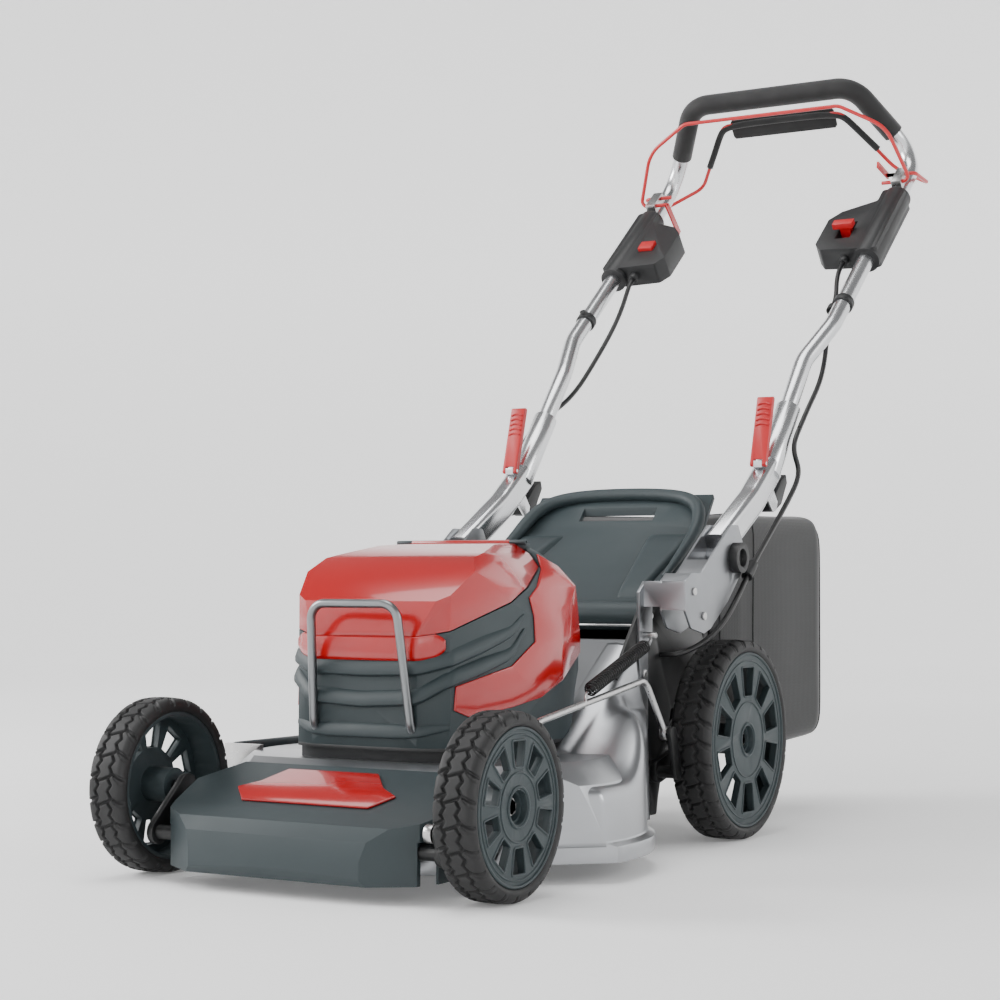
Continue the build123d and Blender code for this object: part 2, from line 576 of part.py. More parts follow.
# ---------------------------------------------------------------- handle brackets
plate_thickness = 3.0
fold_y = 622
fold_z = 367
fold_pin_radius = 5.0
fork_low = handle_x - arm_width / 2 - body_gap - plate_thickness
fork_high = handle_x + arm_width / 2 + body_gap + plate_thickness
plate_outline = [(474, 298), (474, 336), (490, 346), (520, 346), (612, 410), (634, 410), (648, 388), (646, 350),
                 (600, 310), (548, 276), (528, 270), (491, 277)]
inner_plate = side_plate(plate_outline, fork_low, fork_low + plate_thickness, 5)
outer_plate = side_plate(plate_outline, fork_high - plate_thickness, fork_high, 5)
web = side_plate([(474, 300), (474, 336), (490, 346), (520, 346), (545, 364), (545, 360), (521, 342),
                  (491, 342), (478, 334), (478, 300)], fork_low + plate_thickness, fork_high - plate_thickness)
strip = side_plate([(462, 150), (462, 322), (478, 336), (498, 336), (498, 262), (486, 248), (486, 150)],
                   tunnel_half_width + chassis_wall, tunnel_half_width + chassis_wall + 4)
shelf = block((tunnel_half_width + chassis_wall + 4, fork_low), (474, 498), (304, 336))
bracket = inner_plate + outer_plate + web + strip + shelf
bracket -= cross_cylinder(fold_pin_radius, 150, 250, fold_y, fold_z)
keep(both_sides(bracket), "handle_brackets")
bolt_heads = []
for y, z in ((497, 323), (526, 292)):
    bolt_heads += cross_cylinder(5, fork_high, fork_high + 3, y, z).solids()
for y, z in ((474, 170), (474, 220)):
    strip_face = tunnel_half_width + chassis_wall + 4
    bolt_heads += cross_cylinder(5, strip_face, strip_face + 3, y, z).solids()
fold_pin = cross_cylinder(fold_pin_radius, fork_low - 2, fork_high + 4, fold_y, fold_z)
keep(both_sides(Compound([*bolt_heads, *fold_pin.solids()])), "bracket_bolts")
knob = cross_cylinder(20, fork_high, fork_high + 12, fold_y, fold_z)
knob -= cross_cylinder(fold_pin_radius, fork_high - 1, fork_high + 4, fold_y, fold_z)
knob -= cross_cylinder(12, fork_high + 5, fork_high + 15, fold_y, fold_z)
cable_room = cable_radius + 0.7
barrel_line = [at(221, 664, 359.6), at(221.7, 644, 342.5)]
barrel = rod(barrel_line, 7.5, 0)
barrel += side_plate([(636, 368), (654, 361), (644, 349), (630, 350)], fork_high, fork_high + 7)
barrel -= cross_cylinder(20, fork_high - 1, fork_high + 30, fold_y, fold_z)
knob += barrel - rod([at(221.35, 671.5, 365.5), at(222.05, 636.5, 336.5)], cable_room, 0)
keep(both_sides(knob), "fold_knobs")

# ---------------------------------------------------------------- lower handle
sleeve_lean = radians(52)
bend_y = 903                   # where the upper tube leaves the telescope's line
bend_z = 653
sleeve_top = 93                # from that bend, down the tube
sleeve_bottom = 216
telescope_end = 150


def down_tube(distance):
    return (bend_y - distance * cos(sleeve_lean), bend_z - distance * sin(sleeve_lean))


arm_points = [at(handle_x, 606, 381), at(handle_x, 718, 446), at(handle_x, *down_tube(sleeve_bottom - 12))]
arm_path = FilletPolyline(*arm_points, radius=120)
arm_section = RectangleRounded(38, arm_width, 9)
arm = sweep(Plane(origin=arm_path @ 0, x_dir=(0, -0.5, 0.87), z_dir=arm_path % 0) * arm_section, arm_path)
boss = cross_cylinder(19, handle_x - arm_width / 2, handle_x + arm_width / 2, fold_y, fold_z)
arm = arm + boss - cross_cylinder(fold_pin_radius + slide_gap, 100, 300, fold_y, fold_z)
sleeve_line = [at(handle_x, *down_tube(sleeve_bottom)), at(handle_x, *down_tube(sleeve_top))]
sleeve = rod(sleeve_line, sleeve_radius, 0)
bore_line = [at(handle_x, *down_tube(sleeve_bottom + 2)), at(handle_x, *down_tube(sleeve_top - 5))]
bore = rod(bore_line, tube_radius + slide_gap, 0)
arm = arm - rod(sleeve_line, sleeve_radius, 0) - bore
trigger_pivot = (770, 441)
trigger_pin_radius = 2.5
trigger_half_width = 9
lug_outline = [(744, 448), (764, 462), (778, 446), (774, 434), (762, 432)]
lug_low = handle_x - trigger_half_width - body_gap - 3
lug_high = handle_x + trigger_half_width + body_gap
arm += side_plate(lug_outline, lug_low, lug_low + 3)
arm += side_plate(lug_outline, lug_high, lug_high + 3)
arm += cross_cylinder(trigger_pin_radius, lug_low, lug_high + 3, *trigger_pivot)
keep(both_sides(arm), "lower_handle_arms")

cam_pivot = (742, 497)
cam_tip = (768, 590)
cam_half_width = 11.5
lever_lean = atan2(cam_tip[1] - cam_pivot[1], cam_tip[0] - cam_pivot[0])


def beside_lever(along_it, out):
    """A place on the cam lever: distance from its pivot and distance in front of it."""
    return (cam_pivot[0] + along_it * cos(lever_lean) - out * sin(lever_lean),
            cam_pivot[1] + along_it * sin(lever_lean) + out * cos(lever_lean))


lever_length = hypot(cam_tip[0] - cam_pivot[0], cam_tip[1] - cam_pivot[1])
lever = side_plate([beside_lever(-4, -4), beside_lever(-4, 4), beside_lever(lever_length, 4),
                    beside_lever(lever_length, -4)], handle_x - cam_half_width, handle_x + cam_half_width, 3)
lever -= block((handle_x - 6.3, handle_x + 6.3), (700, 753), (485, 503))
cam_pin_radius = 2.5
lever -= cross_cylinder(cam_pin_radius + slide_gap, 150, 250, *cam_pivot)
lever_ears = [(cam_pivot[0] - 4, cam_pivot[1] + 4), (cam_pivot[0] - 4, cam_pivot[1] - 5), (782, 480), (790, 496)]
cam_mount = side_plate(lever_ears, handle_x - 6, handle_x + 6)
cam_mount = cam_mount - rod(sleeve_line, sleeve_radius, 0) - arm
cam_mount = max(cam_mount.solids(), key=lambda s: s.volume)
cam_mount += cross_cylinder(cam_pin_radius, handle_x - cam_half_width, handle_x + cam_half_width, *cam_pivot)
keep(both_sides(Compound([*(sleeve - bore).solids(), *cam_mount.solids()])), "clamp_sleeves")
keep(lever, "cam_lever_left")
keep(mirror(lever, about=Plane.YZ), "cam_lever_right")

trigger_outline = [(760, 444), (772, 450), (800, 478), (816, 486), (820, 474), (800, 444), (774, 432), (764, 434)]
trigger = side_plate(trigger_outline, handle_x - trigger_half_width, handle_x + trigger_half_width, 2)
trigger -= cross_cylinder(trigger_pin_radius + slide_gap, 150, 250, *trigger_pivot)
keep(trigger, "fold_trigger_left")
keep(mirror(trigger, about=Plane.YZ), "fold_trigger_right")

# ---------------------------------------------------------------- upper handle
tube_x = 215                   # the upper tubes, from the centre plane, above the bend
upper_bend = (966, 710)
knee = (1335, 1018)
crown = (1243, 1127)
crown_x = 141
half_tube = [at(handle_x, *down_tube(telescope_end)), at(handle_x, bend_y, bend_z), at(tube_x, *upper_bend),
             at(tube_x, *knee), at(crown_x, *crown)]
tube_points = half_tube + [(-x, y, z) for x, y, z in reversed(half_tube)]
tube_bends = [90, 110, 55, 48]
upper_tube = rod(tube_points, tube_radius, tube_bends + tube_bends[::-1], tube_wall)
keep(upper_tube, "upper_handle_tube")
tube_core = rod(tube_points, tube_radius, tube_bends + tube_bends[::-1])
grip_share = 0.36              # where the grip starts, from knee to crown
grip_end = [low + grip_share * (high - low) for low, high in zip(half_tube[3], half_tube[4])]
grip_way = [high - low for low, high in zip(half_tube[3], half_tube[4])]
hand_grip = rod(tube_points, grip_radius, tube_bends + tube_bends[::-1]) - tube_core
grip_plane = Plane(origin=grip_end, z_dir=grip_way)
hand_grip = split(hand_grip, bisect_by=grip_plane, keep=Keep.TOP)
hand_grip = mirror(split(mirror(hand_grip, about=Plane.YZ), bisect_by=grip_plane, keep=Keep.TOP), about=Plane.YZ)
keep(hand_grip, "hand_grip")

# ---------------------------------------------------------------- switch housings
tube_lean = atan2(knee[1] - upper_bend[1], knee[0] - upper_bend[0])
tube_front = (0, -sin(tube_lean), cos(tube_lean))
housing_start = 181            # along the tube, from its upper bend
housing_length = 180
housing_low = (upper_bend[0] + housing_start * cos(tube_lean), upper_bend[1] + housing_start * sin(tube_lean))
housing_plane = Plane(origin=at(tube_x, *housing_low), x_dir=(1, 0, 0), z_dir=tube_front)
housing_half = 18
housing_outline = [(18, 2), (-74, 8), (-86, 26), (-86, 98), (-70, 120), (-19, 146), (-19, 178), (18, 178)]


def on_tube(x, along_tube, out):
    """A place measured from the left upper tube: across, along and in front of it."""
    return tuple(housing_plane.from_local_coords((x, along_tube, out)))


def housing_block(x_range, t_range, n_range):
    size = [b - a for a, b in (x_range, t_range, n_range)]
    middle = [0.5 * (a + b) for a, b in (x_range, t_range, n_range)]
    return housing_plane.location * Pos(*middle) * Box(*size)


housing = extrude(housing_plane.offset(-housing_half) * make_face(Polyline(*housing_outline, close=True)),
                  2 * housing_half)
housing = fillet(housing.edges().filter_by(lambda e: abs(e.tangent_at(0.5).dot(Vector(*tube_front))) > 0.99), 6)
collar_line = [on_tube(0, -4, 0), on_tube(0, housing_length, 0)]
housing += rod(collar_line, 21, 0)
gland = (-36, -7, 0)
housing += rod([on_tube(*gland), on_tube(gland[0], 12, 0)], 7.5, 0)
housing -= rod([on_tube(0, -20, 0), on_tube(0, housing_length + 20, 0)], tube_radius, 0)
button_place = (-42, 62)
button_size = (26, 22)
button_depth = 7
start_travel = 3
button_room = housing_block((button_place[0] - button_size[0] / 2, button_place[0] + button_size[0] / 2),
                            (button_place[1] - button_size[1] / 2, button_place[1] + button_size[1] / 2),
                            (housing_half - button_depth, housing_half + 4))
button_side = 0.4
start_button = housing_block(
    (button_place[0] - button_size[0] / 2 + button_side, button_place[0] + button_size[0] / 2 - button_side),
    (button_place[1] - button_size[1] / 2 + button_side, button_place[1] + button_size[1] / 2 - button_side),
    (housing_half - button_depth + start_travel + 0.3, housing_half + 6))
speed_place = (-46, 62, 2)     # speed lever pivot
speed_room = housing_block((-58, -34), (38, 86), (-7, housing_half + 2))
speed_pin = rod([on_tube(-62, *speed_place[1:]), on_tube(-30, *speed_place[1:])], 2.5, 0)
speed_lever = housing_block((-54, -38), (57, 67), (-4, 26)) + housing_block((-64, -32), (55, 69), (24, 33))
speed_lever -= rod([on_tube(-80, *speed_place[1:]), on_tube(-20, *speed_place[1:])], 2.5 + slide_gap, 0)
left_housing = (housing - speed_room) + speed_pin
right_housing = mirror(housing - button_room, about=Plane.YZ)
keep(Compound([*left_housing.solids(), *right_housing.solids()]), "switch_housings")
keep(mirror(start_button, about=Plane.YZ), "start_button")
keep(speed_lever, "speed_lever")

# ---------------------------------------------------------------- bails
opc_pivot = (197, 19.6)        # along and in front of the tube
drive_pivot = (221, 19.6)
bail_inner = -26
bracket_half = 8
bail_mount = housing_block((-bracket_half, bracket_half), (opc_pivot[0] - 9, drive_pivot[0] + 9), (8, 26))
bail_mount -= rod([on_tube(0, 150, 0), on_tube(0, 260, 0)], tube_radius, 0)
for pivot in (opc_pivot, drive_pivot):
    bail_mount -= rod([on_tube(-30, *pivot), on_tube(30, *pivot)], bail_rod_radius + slide_gap, 0)
keep(both_sides(bail_mount), "bail_brackets")

opc_half = [on_tube(bail_inner, *opc_pivot), on_tube(21, *opc_pivot), at(206, 1216, 1050), at(134, 1198, 1088)]
opc_points = opc_half + [(-x, y, z) for x, y, z in reversed(opc_half)]
opc_bends = [9, 60, 26]
opc_bail = rod(opc_points, bail_rod_radius, opc_bends + opc_bends[::-1])
opc_arm = side_plate([(1237, 966), (1249, 971), (1296, 930), (1288, 920)], 187, 190)
opc_arm = opc_arm - rod([on_tube(-30, *opc_pivot), on_tube(30, *opc_pivot)], bail_rod_radius, 0)
opc_bail = Compound([*opc_bail.solids(), *mirror(opc_arm, about=Plane.YZ).solids()])
keep(opc_bail, "presence_bail")

drive_half = [on_tube(bail_inner, *drive_pivot), on_tube(22, *drive_pivot), at(235, 1332, 978),
              at(172, 1353, 1012), at(104, 1285, 1098)]
drive_points = drive_half + [(-x, y, z) for x, y, z in reversed(drive_half)]
drive_bends = [8, 18, 30, 22]
drive_bail = rod(drive_points, bail_rod_radius, drive_bends + drive_bends[::-1])
drive_place = on_tube(0, *drive_pivot)
arm_low = (drive_place[1] - front_axle_y, drive_place[2])
drive_arm = side_plate([(arm_low[0] + 5, arm_low[1] - 5), (arm_low[0] + 6, arm_low[1] + 5), (1222, 998),
                        (1219, 988)], 189, 192)
drive_arm = drive_arm - rod([on_tube(-30, *drive_pivot), on_tube(30, *drive_pivot)], bail_rod_radius, 0)
leg_way = (0.61, -0.79)
leg_out = (0.79, 0.61)


def on_paddle(along_leg, out):
    return (1285 + along_leg * leg_way[0] + out * leg_out[0], 1098 + along_leg * leg_way[1] + out * leg_out[1])


paddle = side_plate([on_paddle(-4, 3), on_paddle(24, 3), on_paddle(24, 7), on_paddle(-4, 7)], -88, 88)
paddle -= rod(drive_points, bail_rod_radius, drive_bends + drive_bends[::-1])
keep(Compound([*drive_bail.solids(), *drive_arm.solids(), *paddle.solids()]), "drive_bail")

# ---------------------------------------------------------------- control cables
clip_at = -124                 # the cable clips, along the tube from the housings
clip_hole = (-20, clip_at, -8)
clip_length = 12
clip = rod([on_tube(0, clip_at - clip_length / 2, 0), on_tube(0, clip_at + clip_length / 2, 0)],
           tube_radius + 2.5, 0, 2.5)
clip_ring = rod([on_tube(clip_hole[0], clip_at - clip_length / 2, clip_hole[2]),
                 on_tube(clip_hole[0], clip_at + clip_length / 2, clip_hole[2])], 7.6, 0)
clip_ring -= rod([on_tube(0, clip_at - 20, 0), on_tube(0, clip_at + 20, 0)], tube_radius + 1, 0)
clip_ring -= rod([on_tube(clip_hole[0], clip_at - 20, clip_hole[2]),
                  on_tube(clip_hole[0], clip_at + 20, clip_hole[2])], cable_radius + 0.6, 0)
clip_screw = rod([on_tube(0, clip_at, tube_radius + 1), on_tube(0, clip_at, tube_radius + 7)], 5, 0)
keep(Compound([*(clip + clip_ring).solids(), *mirror(clip + clip_screw, about=Plane.YZ).solids()]), "cable_clips")
joint = at(219.5, 828, 548.7)  # where the upper cable meets the lower one
left_route = [on_tube(*gland), on_tube(-36, -30, 0), on_tube(-31, -62, -3), on_tube(-20, clip_at + 24, -8),
              on_tube(-20, clip_at - 24, -8), at(208, 960, 672), at(217, 915, 622), at(219, 868, 587), joint]
right_route = [on_tube(*gland), on_tube(-36, -24, 0), at(181, 1074, 782), at(187, 1060, 750), at(193, 1032, 712),
               at(197, 998, 676), at(201, 960, 637), at(206, 920, 608), at(212, 884, 590), at(219.2, 852, 571.7), joint]
lower_route = [joint, at(219.75, 808, 529.55), at(220.2, 808.4, 511.6), at(221, 822.6, 497.4), at(221, 821.7, 479.6),
               at(221, 795, 455.5), at(221, 740, 414), at(221, 664, 359.6), at(222, 630, 330.5), at(218, 592, 289),
               at(203, 560, 258), at(180, 534, 244), at(168, 530, 242), at(tunnel_half_width + chassis_wall, 530, 242)]
left_cable = cable("upper cable, left", left_route, cable_radius)
right_cable = cable("upper cable, right", right_route, cable_radius)
lower_cable = cable("lower cable", lower_route, cable_radius)
keep(Compound([*left_cable.solids(), *mirror(right_cable, about=Plane.YZ).solids()]), "upper_cables")
keep(both_sides(lower_cable), "lower_cables")

# ---------------------------------------------------------------- height-assist spring
spring_top = Vector(*at(170, 456, 258))
spring_low = Vector(*at(173, 300, 218))
spring_line = (spring_top - spring_low).normalized()
assist_spring = rod([spring_low, spring_top], 9, 0, 2.5)
cap_length = 6
assist_spring += rod([spring_low, spring_low + spring_line * cap_length], 8, 0)
assist_spring += rod([spring_top - spring_line * cap_length, spring_top], 8, 0)
ring_low = at(link_x, 276, 192.7)
assist_spring += rod([spring_low + spring_line, Vector(*at(link_x, 277, 200))], 1.6, 0)
ring_plane = Plane(origin=ring_low, z_dir=(0, 1, 0.14))
assist_spring += extrude(ring_plane.offset(-2) * (Circle(10) - Circle(7)), 4)
peg = rod([spring_top - spring_line, Vector(*at(166, 474, 266))], 1.6, 0)
assist_spring += peg
keep(assist_spring, "assist_spring")
hook_pin = cross_cylinder(4, tunnel_half_width + chassis_wall + 4, 172, 476, 268)
keep(hook_pin - assist_spring, "spring_anchor")
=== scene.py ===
# Cordless rotary mower: the looks of every piece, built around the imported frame.
import json
import math
import bmesh
import bpy
import numpy as np
from mathutils import Matrix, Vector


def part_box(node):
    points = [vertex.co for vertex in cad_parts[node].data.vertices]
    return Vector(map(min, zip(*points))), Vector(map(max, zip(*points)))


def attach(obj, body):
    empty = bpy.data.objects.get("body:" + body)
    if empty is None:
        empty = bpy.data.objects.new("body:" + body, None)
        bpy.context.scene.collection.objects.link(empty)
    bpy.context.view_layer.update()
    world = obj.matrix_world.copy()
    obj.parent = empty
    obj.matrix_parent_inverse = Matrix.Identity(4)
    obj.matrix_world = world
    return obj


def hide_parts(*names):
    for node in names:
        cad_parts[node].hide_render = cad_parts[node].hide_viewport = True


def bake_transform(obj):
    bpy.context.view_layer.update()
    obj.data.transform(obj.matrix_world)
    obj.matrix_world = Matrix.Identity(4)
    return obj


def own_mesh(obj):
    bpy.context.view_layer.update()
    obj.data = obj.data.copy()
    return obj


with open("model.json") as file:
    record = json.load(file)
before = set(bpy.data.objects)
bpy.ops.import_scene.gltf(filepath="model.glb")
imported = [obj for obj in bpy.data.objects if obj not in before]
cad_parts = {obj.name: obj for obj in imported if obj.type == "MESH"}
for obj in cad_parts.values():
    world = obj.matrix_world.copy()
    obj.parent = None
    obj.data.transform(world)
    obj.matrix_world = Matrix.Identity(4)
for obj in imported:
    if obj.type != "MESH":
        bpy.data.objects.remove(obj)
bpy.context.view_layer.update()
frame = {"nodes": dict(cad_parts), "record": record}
print("frame loaded:", len(frame["nodes"]), "nodes")


def boxMiddle(node):
    low, high = (np.array(corner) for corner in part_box(node))
    return 0.5 * (low + high)


frontAxleY = boxMiddle("front_left_rim")[1]


def at(x, behindAxle, z):
    # millimetres across, behind the front axle and above the ground, turned into metres in the frame
    return np.array([x / 1000, frontAxleY + behindAxle / 1000, z / 1000])


cameraView = {"x": 1340.4, "behindAxle": -1882.7, "z": 329.2, "azimuth": 30.53, "elevation": -2.36,
             "roll": 0.18, "lens": 75.18, "shiftX": -0.0036, "nearClip": 0.05}


def makeCamera(view):
    # looks along the azimuth and elevation, then rolls about that line
    turn, rise, roll = (math.radians(view[key]) for key in ("azimuth", "elevation", "roll"))
    ahead = np.array([-math.sin(turn) * math.cos(rise), math.cos(turn) * math.cos(rise), -math.sin(rise)])
    flatRight = np.array([math.cos(turn), math.sin(turn), 0])
    flatUp = np.cross(flatRight, ahead)
    right = math.cos(roll) * flatRight + math.sin(roll) * flatUp
    up = math.cos(roll) * flatUp - math.sin(roll) * flatRight
    data = bpy.data.cameras.new("viewCamera")
    data.lens = view["lens"]
    data.shift_x = view["shiftX"]
    data.clip_start = view["nearClip"]
    camera = bpy.data.objects.new("viewCamera", data)
    bpy.context.scene.collection.objects.link(camera)
    turned = Matrix(np.column_stack([right, up, -ahead]).tolist()).to_4x4()
    camera.matrix_world = Matrix.Translation(at(view["x"], view["behindAxle"], view["z"]).tolist()) @ turned
    bpy.context.scene.camera = camera


makeCamera(cameraView)

softboxes = {
    "overheadBox": {"place": (-0.3, -0.4, 3.6), "aim": (0, 0, 0.3), "size": 2.2, "power": 70},
    "leftBox": {"place": (-3.0, -1.6, 2.0), "aim": (0, 0, 0.5), "size": 1.6, "power": 120},
    "frontBox": {"place": (0.6, -4.0, 2.4), "aim": (0, -0.3, 0.4), "size": 1.4, "power": 12},
    "rightStrip": {"place": (3.2, 0.6, 1.6), "aim": (0, 0, 0.5), "size": 1.0, "power": 22},
}


def addSoftbox(name, settings):
    data = bpy.data.lights.new(name, "AREA")
    data.shape = "SQUARE"
    data.size = settings["size"]
    data.energy = settings["power"]
    lamp = bpy.data.objects.new(name, data)
    bpy.context.scene.collection.objects.link(lamp)
    back = np.array(settings["place"]) - np.array(settings["aim"])
    back = back / np.linalg.norm(back)
    side = np.cross([0.0, 0.0, 1.0], back)
    side = side / np.linalg.norm(side)
    turned = Matrix(np.column_stack([side, np.cross(back, side), back]).tolist()).to_4x4()
    lamp.matrix_world = Matrix.Translation(settings["place"]) @ turned


for boxName, boxSettings in softboxes.items():
    addSoftbox(boxName, boxSettings)


def toLinear(hexColour):
    # sRGB hex to linear: the low part is divided by 12.92, the rest is ((c + 0.055) / 1.055) ^ 2.4
    parts = [int(hexColour[start:start + 2], 16) / 255 for start in (0, 2, 4)]
    return [part / 12.92 if part <= 0.04045 else ((part + 0.055) / 1.055) ** 2.4 for part in parts] + [1.0]


def addNode(tree, kind, settings, links=None):
    # settings name the node's own values or its inputs; links join its inputs to outputs of other nodes
    node = tree.nodes.new(kind)
    for key, value in settings.items():
        if isinstance(key, int) or key in node.inputs:
            node.inputs[key].default_value = value
        else:
            setattr(node, key, value)
    for key, output in (links or {}).items():
        tree.links.new(output, node.inputs[key])
    return node


def startMaterial(name):
    material = bpy.data.materials.new(name)
    material.use_nodes = True
    tree = material.node_tree
    tree.nodes.clear()
    return material, tree


def finishMaterial(tree, shader):
    addNode(tree, "ShaderNodeOutputMaterial", {}, {"Surface": shader.outputs["BSDF"]})


def grainedMaterial(name, look):
    # a solid finish: slow drift between two close colours, uneven gloss, and a fine grain as bump
    material, tree = startMaterial(name)
    place = addNode(tree, "ShaderNodeTexCoord", {}).outputs["Object"]
    drift = addNode(tree, "ShaderNodeTexNoise", {"Scale": 1000 / look["driftMm"], "Detail": 3.0},
                    {"Vector": place})
    mix = addNode(tree, "ShaderNodeMix", {"data_type": "RGBA"}, {"Factor": drift.outputs["Fac"]})
    mix.inputs[6].default_value = toLinear(look["colour"])
    mix.inputs[7].default_value = toLinear(look["drift"])
    gloss = addNode(tree, "ShaderNodeTexNoise", {"Scale": 1000 / (look["driftMm"] * 0.4), "Detail": 4.0},
                    {"Vector": place})
    spread = addNode(tree, "ShaderNodeMapRange", {"To Min": look["roughness"] * 0.85,
                                                  "To Max": look["roughness"] * 1.2},
                     {"Value": gloss.outputs["Fac"]})
    grain = addNode(tree, "ShaderNodeTexNoise", {"Scale": 1000 / look["grainMm"], "Detail": 2.0},
                    {"Vector": place})
    bump = addNode(tree, "ShaderNodeBump", {"Strength": look["grainStrength"],
                                            "Distance": look["grainDepthMm"] / 1000},
                   {"Height": grain.outputs["Fac"]})
    settings = {"Metallic": look.get("metallic", 0.0), "IOR": look.get("ior", 1.5)}
    for key in ("Coat Weight", "Coat Roughness", "Sheen Weight", "Sheen Roughness", "Specular IOR Level"):
        if key in look:
            settings[key] = look[key]
    shader = addNode(tree, "ShaderNodeBsdfPrincipled", settings,
                     {"Base Color": mix.outputs[2], "Roughness": spread.outputs["Result"],
                      "Normal": bump.outputs["Normal"]})
    finishMaterial(tree, shader)
    return material


# Polypropylene moulded with a fine spark texture: dull grey-green, soft wide highlights.
greyMouldedPolypropylene = grainedMaterial("greyMouldedPolypropylene", {
    "colour": "2B3639", "drift": "263134", "driftMm": 160, "roughness": 0.52, "grainMm": 1.6,
    "grainStrength": 0.25, "grainDepthMm": 0.12, "ior": 1.49})
# ABS with a mirror mould finish and a clear coat: deep red that holds sharp reflections.
redGlossAbs = grainedMaterial("redGlossAbs", {
    "colour": "B00004", "drift": "A00004", "driftMm": 220, "roughness": 0.22, "grainMm": 9,
    "grainStrength": 0.05, "grainDepthMm": 0.05, "ior": 1.54, "Coat Weight": 0.6, "Coat Roughness": 0.06})
# Plain moulded ABS in red, for the levers: less gloss than the hood.
redMouldedAbs = grainedMaterial("redMouldedAbs", {
    "colour": "B80C14", "drift": "A80810", "driftMm": 60, "roughness": 0.42, "grainMm": 1.4,
    "grainStrength": 0.2, "grainDepthMm": 0.06, "ior": 1.54})
# Glass-filled nylon, moulded black: matt with a fine grain.
blackMouldedNylon = grainedMaterial("blackMouldedNylon", {
    "colour": "0E0F10", "drift": "141517", "driftMm": 90, "roughness": 0.5, "grainMm": 1.5,
    "grainStrength": 0.3, "grainDepthMm": 0.12, "ior": 1.53})
# Silver powder coat on pressed steel: metal flake under a light orange peel.
silverPowderCoat = grainedMaterial("silverPowderCoat", {
    "colour": "A9ABAE", "drift": "9C9EA1", "driftMm": 120, "roughness": 0.3, "grainMm": 3.0,
    "grainStrength": 0.12, "grainDepthMm": 0.15, "metallic": 0.95, "Coat Weight": 0.2, "Coat Roughness": 0.2})
# Black powder coat on sheet steel: satin, with orange peel.
blackPowderCoat = grainedMaterial("blackPowderCoat", {
    "colour": "0B0C0D", "drift": "111213", "driftMm": 90, "roughness": 0.42, "grainMm": 2.6,
    "grainStrength": 0.2, "grainDepthMm": 0.12, "ior": 1.5})
# Red powder coat on bent wire: even, half gloss.
redPowderCoat = grainedMaterial("redPowderCoat", {
    "colour": "C00812", "drift": "B0060F", "driftMm": 40, "roughness": 0.33, "grainMm": 2.0,
    "grainStrength": 0.12, "grainDepthMm": 0.06, "ior": 1.5, "Coat Weight": 0.3, "Coat Roughness": 0.15})
# Drawn aluminium tube, clear anodised: bright, slightly soft reflections.
anodisedTube = grainedMaterial("anodisedTube", {
    "colour": "D9DADC", "drift": "CFD0D2", "driftMm": 80, "roughness": 0.24, "grainMm": 4.0,
    "grainStrength": 0.06, "grainDepthMm": 0.05, "metallic": 1.0})
# Blanked aluminium plate, tumbled and anodised: satin grey with bright edges.
satinAluminiumPlate = grainedMaterial("satinAluminiumPlate", {
    "colour": "9A9C9F", "drift": "8E9093", "driftMm": 60, "roughness": 0.36, "grainMm": 1.6,
    "grainStrength": 0.15, "grainDepthMm": 0.06, "metallic": 1.0})
# Zinc-plated steel: bright with a faint mottling.
zincPlatedSteel = grainedMaterial("zincPlatedSteel", {
    "colour": "C9C8C6", "drift": "B9B9BA", "driftMm": 12, "roughness": 0.28, "grainMm": 2.0,
    "grainStrength": 0.08, "grainDepthMm": 0.05, "metallic": 1.0})
# Hardened blade steel with a dark coat: satin, scratched dark grey.
hardenedBladeSteel = grainedMaterial("hardenedBladeSteel", {
    "colour": "4A4A4C", "drift": "3A3A3C", "driftMm": 25, "roughness": 0.38, "grainMm": 1.8,
    "grainStrength": 0.2, "grainDepthMm": 0.08, "metallic": 1.0})
# Die-cast aluminium, bead blasted: pale, dull and evenly pitted.
castAluminium = grainedMaterial("castAluminium", {
    "colour": "8D8F92", "drift": "808285", "driftMm": 30, "roughness": 0.5, "grainMm": 1.5,
    "grainStrength": 0.3, "grainDepthMm": 0.12, "metallic": 1.0})
# Solid tyre rubber: near black with a dry bloom.
solidTyreRubber = grainedMaterial("solidTyreRubber", {
    "colour": "0C0C0D", "drift": "131314", "driftMm": 45, "roughness": 0.62, "grainMm": 1.8,
    "grainStrength": 0.35, "grainDepthMm": 0.15, "ior": 1.52})
# Closed-cell foam grip: matt black with a soft edge.
closedCellFoam = grainedMaterial("closedCellFoam", {
    "colour": "0A0A0B", "drift": "0F0F10", "driftMm": 70, "roughness": 0.68, "grainMm": 1.8,
    "grainStrength": 0.4, "grainDepthMm": 0.15, "ior": 1.5, "Sheen Weight": 0.25, "Sheen Roughness": 0.4})
# Extruded vinyl cable jacket: smooth, half gloss.
vinylJacket = grainedMaterial("vinylJacket", {
    "colour": "0D0D0E", "drift": "121213", "driftMm": 50, "roughness": 0.4, "grainMm": 3.0,
    "grainStrength": 0.08, "grainDepthMm": 0.05, "ior": 1.53})
# Battery case, moulded polycarbonate blend: dark grey, even grain.
batteryCasePlastic = grainedMaterial("batteryCasePlastic", {
    "colour": "2B2D30", "drift": "323437", "driftMm": 80, "roughness": 0.48, "grainMm": 1.5,
    "grainStrength": 0.25, "grainDepthMm": 0.1, "ior": 1.58})
# Zinc-nickel plated tube, brushed before plating: mid grey with soft wide highlights.
nickelPlatedTube = grainedMaterial("nickelPlatedTube", {
    "colour": "8E9092", "drift": "808284", "driftMm": 60, "roughness": 0.32, "grainMm": 2.0,
    "grainStrength": 0.1, "grainDepthMm": 0.05, "metallic": 1.0})
# Studio paper: pale and dull, lit from within towards its far edges so that it stays white there.
studioPaperLook = {"colour": "F6F6F6", "nearM": 0.9, "farM": 3.6, "nearGlow": 0.12, "farGlow": 0.6,
                   "roughness": 0.8}


